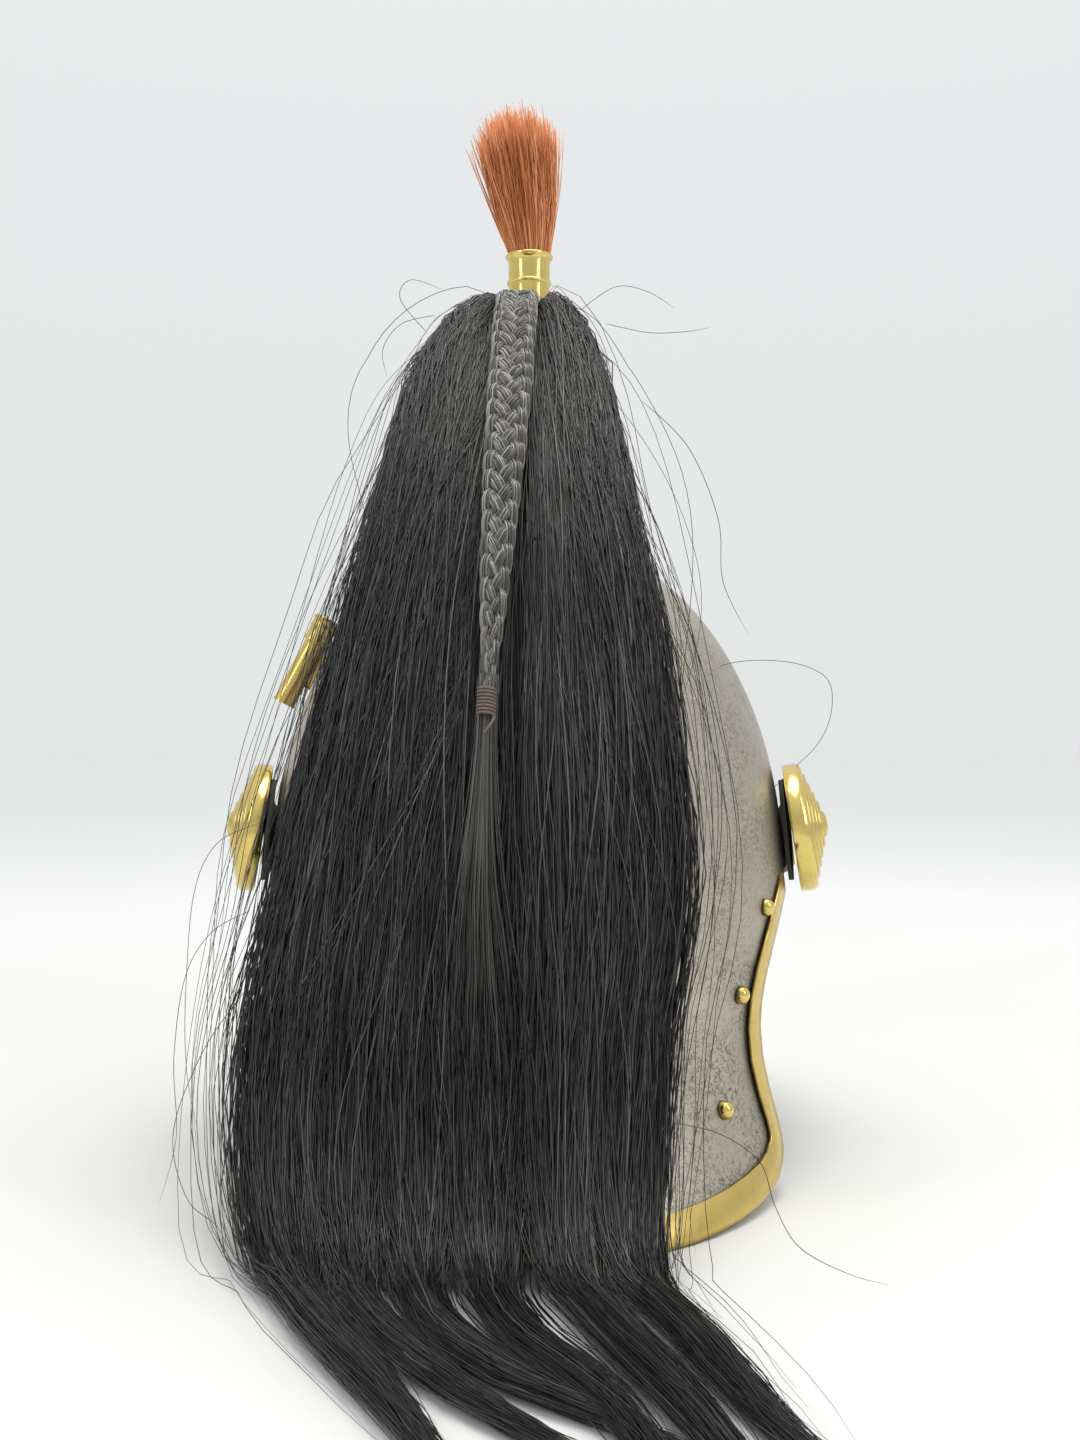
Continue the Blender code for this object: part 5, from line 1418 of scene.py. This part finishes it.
def buildPlait():
    # a flat plait: each bundle of hairs crosses from edge to edge, over one and under the next
    look = plaitLooks
    random = np.random.default_rng(look["seed"])
    steps, bundles, columns = look["steps"], look["bundles"], look["coreColumns"]
    along = np.linspace(look["start"], look["end"], steps)
    middle, out, half, thick = plaitLine(along)
    across = unit(np.cross(unit(np.gradient(middle, axis=0)), out))
    run = lengthsAlong(middle)
    pitch = look["pitchTop"] + (look["pitchBelow"] - look["pitchTop"]) * smoothStep(run / 0.07)
    angle = np.concatenate([[0.0], np.cumsum(np.diff(run) / pitch[:-1])]) * 2 * np.pi
    close = smoothStep((along - 0.46) / 0.045)
    slim = 0.75 + 0.25 * half / look["halfWidth"]
    lighter = 0.18 * (1 - smoothStep((along - 0.08) / 0.12))
    paths, radii, tones, rings = [], [], [], []
    for bundle in range(bundles):
        turn = angle + 2 * np.pi * bundle / bundles
        swing = np.sin(turn) * (half * 0.62) * (1 - 0.35 * close)
        lift = np.cos((bundles - 1) * turn + np.pi / 2) * thick * 0.42
        centre = middle + across * swing[:, None] + out * lift[:, None]
        ahead = unit(np.gradient(centre, axis=0))
        side = unit(np.cross(ahead, out))
        high = unit(np.cross(side, ahead))
        side = side * (half * 0.31 * (1 - 0.3 * close))[:, None]
        high = high * (thick * 0.40)[:, None]
        for hair in range(look["hairsEach"]):
            a = 2 * np.pi * hair / look["hairsEach"] + random.uniform(-0.15, 0.15)
            reach = random.uniform(0.86, 1.04)
            stray = 0.00012 * np.sin(run / 0.006 + random.uniform(0, 6))
            paths.append(centre + (side * np.cos(a) + high * np.sin(a)) * reach + across * stray[:, None])
            radii.append(look["hairRadius"] * random.uniform(0.8, 1.1) * slim)
            tones.append(random.uniform(0.35, 0.95) + lighter)
        corners = 2 * np.pi * np.arange(columns) / columns
        rings.append(np.stack([centre + (side * np.cos(a) + high * np.sin(a)) * 0.93 for a in corners], axis=1))
    addHairs("plaitHair", np.array(paths), np.array(radii), np.clip(np.array(tones), 0, 1), greyHair,
             "grey_horsehair", ["plait"])
    buildPlaitCore(np.concatenate([ring.reshape(-1, 3) for ring in rings]))


def buildPlaitCore(points):
    # the inside of each bundle, painted darker as shade
    steps, columns = plaitLooks["steps"], plaitLooks["coreColumns"]
    quads, caps = [], []
    for start in range(0, len(points), steps * columns):
        last = start + (steps - 1) * columns
        quads.append(sheetFaces(steps, columns, closed=True) + start)
        for k in range(1, columns - 1):
            caps += [(start, start + k + 1, start + k), (last, last + k, last + k + 1)]
    core = meshFromArrays("plaitCore", points, np.concatenate(quads), np.array(caps))
    fixNormals(core)
    paintTone(core, np.full(len(points), plaitLooks["coreShadeTone"]))
    addPiece("plaitCore", core, greyHair)


def buildTail():
    # the plait's loose tail below its tie, which opens out over the mane
    look = tailLooks
    random = np.random.default_rng(plaitLooks["seed"] + 1)
    count, steps, start = look["hairs"], look["steps"], look["start"]
    ends = random.uniform(0.57, 0.77, count)
    along = start + (ends - start)[:, None] * np.linspace(0, 1, steps)[None, :]
    tie, _, _, thick = plaitLine(np.array([start]))
    tieX = float(tie[0, 0])
    aside = random.normal(0, 0.42, count)
    fan = smoothStep((along - 0.515) / 0.24)
    line = np.interp(along, (0.49, 0.62, 0.86), (tieX, tieX + 0.0028, tieX + 0.001))
    x = line + aside[:, None] * (0.0024 + 0.0115 * fan)
    x = x + waves(random, count, along * 0.56, 0.04, 0.12, 0.0022) * fan
    share = x / maneEdge(along, 1)
    level = random.uniform(-1, 1, count)
    stand = (plaitStandoff + float(thick[0])) * (1 - fan) + 0.0012 * fan
    thickNow = 0.0022 * (1 - fan) + 0.0014 * fan
    points = manePoint(along, share, -(stand + level[:, None] * thickNow))
    points += maneOut(along) * (waves(random, count, along * 0.56, 0.05, 0.12, 0.0006) * fan)[..., None]
    tone = np.clip(random.uniform(0.12, 0.62, count)[:, None] - 0.32 * fan, 0.0, 1.0)
    radius = hairTaper(steps, look["radius"] * random.uniform(0.8, 1.15, count))
    addHairs("plaitTail", points, radius, tone, greyHair, "grey_horsehair", roll=random.uniform(0, 6, count))


tieLooks = {
    "turns": 7.5,
    "radius": 0.0027,
    "thread": 0.00046,
    "length": 0.0098,
    "sides": 8,
    "woundSteps": 220,
    "looseSteps": 21,
}


def buildTie():
    # waxed thread wound round the plait's end, with one loose end
    look = tieLooks
    low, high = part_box("plait_tie")
    centre = (low + high) / 2
    spots, out, _, _ = plaitLine(np.array([0.495, 0.515]))
    down = Vector(spots[1] - spots[0]).normalized()
    out = Vector(out[0])
    out = (out - down * out.dot(down)).normalized()
    side = down.cross(out)
    points = []
    for t in np.linspace(0, 1, look["woundSteps"]):
        angle = 2 * math.pi * look["turns"] * t
        wobble = 1 + 0.03 * math.sin(9 * t + 1)
        place = centre + down * look["length"] * (t - 0.5) * 0.86
        place += (side * math.cos(angle) + out * math.sin(angle) * 0.86) * look["radius"] * wobble
        points.append(place)
    wound = points[-1]
    for t in np.linspace(0, 1, look["looseSteps"] + 1)[1:]:
        points.append(wound + down * 0.006 * t + out * 0.0022 * math.sin(2.6 * t) + side * 0.003 * t * t)
    path = np.array([tuple(p) for p in points])[None]
    addHairs("tieThread", path, np.full((1, path.shape[1]), look["thread"]), np.array([0.55]), brownThread,
             "brown_thread", ["plait_tie"], sides=look["sides"])


buildPlait()
buildTail()
buildTie()
print("plait, tail and tie made")


# Tuft

tuftLooks = {
    "hairs": 2600,
    "steps": 8,
    "height": 0.064,
    "halfWidth": 0.0225,
    "lean": 0.0092,
    "radius": 0.00023,
    "clumps": 70,
    "rootHalfWidth": 0.0082,
    "rootDepth": 0.30,
    "seed": 21,
}
# share of the tuft's height, and share of its half width
tuftTable = np.array([(0.0, 0.40), (0.08, 0.48), (0.26, 0.64), (0.48, 0.82), (0.68, 0.95), (0.86, 1.03), (1.0, 1.06)])


def buildTuft():
    # a brush of cut horsehair: close in its sleeve, fanned and unevenly cut above
    look = tuftLooks
    random = np.random.default_rng(look["seed"])
    foot = sleeveFoot()
    lip = foot.z + sleeveLooks["height"]
    count, steps, clumps = look["hairs"], look["steps"], look["clumps"]
    angle = random.uniform(0, 2 * np.pi, count)
    inner = np.sqrt(random.uniform(0, 1, count))
    clump = random.integers(0, clumps, count)
    clumpAngle = random.uniform(0, 2 * np.pi, clumps)
    clumpInner = np.sqrt(random.uniform(0, 1, clumps))
    clumpReach = random.normal(0, 0.055, clumps)
    length = 0.95 - 0.13 * inner**2 + clumpReach[clump] * 0.6 + random.normal(0, 0.035, count)
    length -= 0.10 * np.clip(np.cos(angle) * inner, 0, 1) ** 2
    length = np.clip(length, 0.6, 1.04)
    t = np.linspace(0, 1, steps)[None, :]
    share = (length[:, None] + look["rootDepth"]) * t - look["rootDepth"]
    up = np.clip(share, 0, 1.05)
    wide = look["halfWidth"] * curveThroughRows(tuftTable[:, 0], tuftTable[:, 1], up)
    wide = np.where(share < 0, look["rootHalfWidth"], wide)
    own = inner * np.cos(angle), inner * np.sin(angle)
    gathered = clumpInner * np.cos(clumpAngle), clumpInner * np.sin(clumpAngle)
    pull = 0.42 * smoothStep(up * 1.2)
    bend = random.normal(0, 0.028, (count, 2))
    x, y = (own[k][:, None] + (gathered[k][clump] - own[k])[:, None] * pull + bend[:, k, None] * up**2 * 1.5
            for k in (0, 1))
    size = np.sqrt(x**2 + y**2)
    limit = np.where(size > 1.04, 1.04 / np.maximum(size, 1e-6), 1.0)
    points = np.stack([
        x * limit * wide + look["lean"] * up**1.3,
        foot.y + y * limit * wide * 0.92,
        lip + look["height"] * share - 0.002 * size * up,
    ], axis=-1)
    radius = look["radius"] * random.uniform(0.8, 1.15, count)
    taper = radius[:, None] * np.clip(1.1 - 0.55 * t**3, 0.3, 1.0)
    tone = np.clip(random.normal(0.5, 0.2, count) + random.uniform(-0.16, 0.16, clumps)[clump], 0, 1)
    addHairs("tuftHair", points, taper, tone, redHair, "red_horsehair", ["tuft"], roll=random.uniform(0, 6, count))


buildTuft()
print("tuft made")


# Floor, light and camera

studioLooks = {
    # the paper near the helmet is painted darker, as shade against the lamps
    "floorNearShaded": "E6E7E6",
    "floorFar": "F3F4F4",
    "farFrom": 0.42,
    "farTo": 0.95,
    "roomBehind": "E9EBEC",
    "roomBeside": "D0D1D1",
    "roomLow": "E6E7E7",
    "overhead": "FFFFFF",
    "roomStrength": 0.98,
    "keyPower": 7.0,
    "stripPower": 1.6,
    "floorRadius": 9.0,
    "floorCorners": 64,
}
cameraLooks = {
    "place": (-0.0048, 0.5217, 0.165),
    "lensMm": 37.5,
    "sensorMm": 36.0,
}


def buildStudio():
    # a wide sheet of pale paper, whitest round the helmet where the lamps fall, though its colour there is painted
    # darker as shade to temper them
    look = studioLooks
    paper, tree, place = newMaterial("palePaper")
    far = addNode(tree, "VectorMath", {"operation": "LENGTH"}, {0: place}).outputs["Value"]
    farther = spread(tree, far, 0.0, 1.0, look["farFrom"], look["farTo"])
    colour = mixed(tree, farther, linear(look["floorNearShaded"]), linear(look["floorFar"]))
    finished(paper, colour, None, 0.7, **{"Specular IOR Level": 0.2})
    turns = np.linspace(0, 2 * np.pi, look["floorCorners"], endpoint=False)
    made = bmesh.new()
    made.faces.new([made.verts.new(look["floorRadius"] * Vector((math.cos(a), math.sin(a), 0.0))) for a in turns])
    floor = addObject("studioFloor", recorded(made, "studioFloor"))
    floor.data.materials.append(paper)


def addAreaLight(name, place, aim, size, power, tint):
    data = bpy.data.lights.new(name, "AREA")
    data.shape = "RECTANGLE"
    data.size, data.size_y = size
    data.energy = power
    data.color = linear(tint)[:3]
    light = addObject(name, data)
    light.location = place
    light.rotation_euler = (Vector(aim) - Vector(place)).to_track_quat("-Z", "Y").to_euler()


def buildLight():
    # a pale room, brightest overhead and dimmer on the side that the photograph is taken from
    look = studioLooks
    world = bpy.data.worlds.new("softRoom")
    bpy.context.scene.world = world
    world.use_nodes = True
    tree = world.node_tree
    background = tree.nodes["Background"]
    way = addNode(tree, "TexCoord").outputs["Generated"]
    way = addNode(tree, "SeparateXYZ", None, {"Vector": way}).outputs
    aside = spread(tree, way["Y"], 0.0, 1.0, -0.55, 0.55)
    low = spread(tree, way["Z"], 0.0, 1.0, 0.30, 0.02)
    up = spread(tree, way["Z"], 0.0, 1.0, 0.35, 0.95)
    around = mixed(tree, aside, linear(look["roomBehind"]), linear(look["roomBeside"]))
    around = mixed(tree, reckoned(tree, "MULTIPLY", low, 0.8), around, linear(look["roomLow"]))
    tree.links.new(mixed(tree, up, around, linear(look["overhead"])), background.inputs["Color"])
    background.inputs["Strength"].default_value = look["roomStrength"]
    addAreaLight("overhead", (-0.15, 0.05, 1.25), (0, -0.05, 0.15), (0.8, 0.6), look["keyPower"], "FFFCF6")
    addAreaLight("leftStrip", (0.75, 0.55, 0.75), (0, -0.05, 0.2), (0.12, 0.7), look["stripPower"], "FFFFFF")
    addAreaLight("rightStrip", (-0.80, 0.45, 0.70), (0, -0.05, 0.2), (0.14, 0.7), look["stripPower"], "FFFFFF")
    bpy.context.scene.view_settings.view_transform = "Standard"


def buildCamera():
    # level, straight behind the helmet
    look = cameraLooks
    data = bpy.data.cameras.new("camera")
    data.lens = look["lensMm"]
    data.sensor_width = look["sensorMm"]
    camera = addObject("camera", data)
    camera.location = look["place"]
    camera.rotation_euler = (math.pi / 2, 0.0, math.pi)
    bpy.context.scene.camera = camera


buildStudio()
buildLight()
buildCamera()
print("studio set")
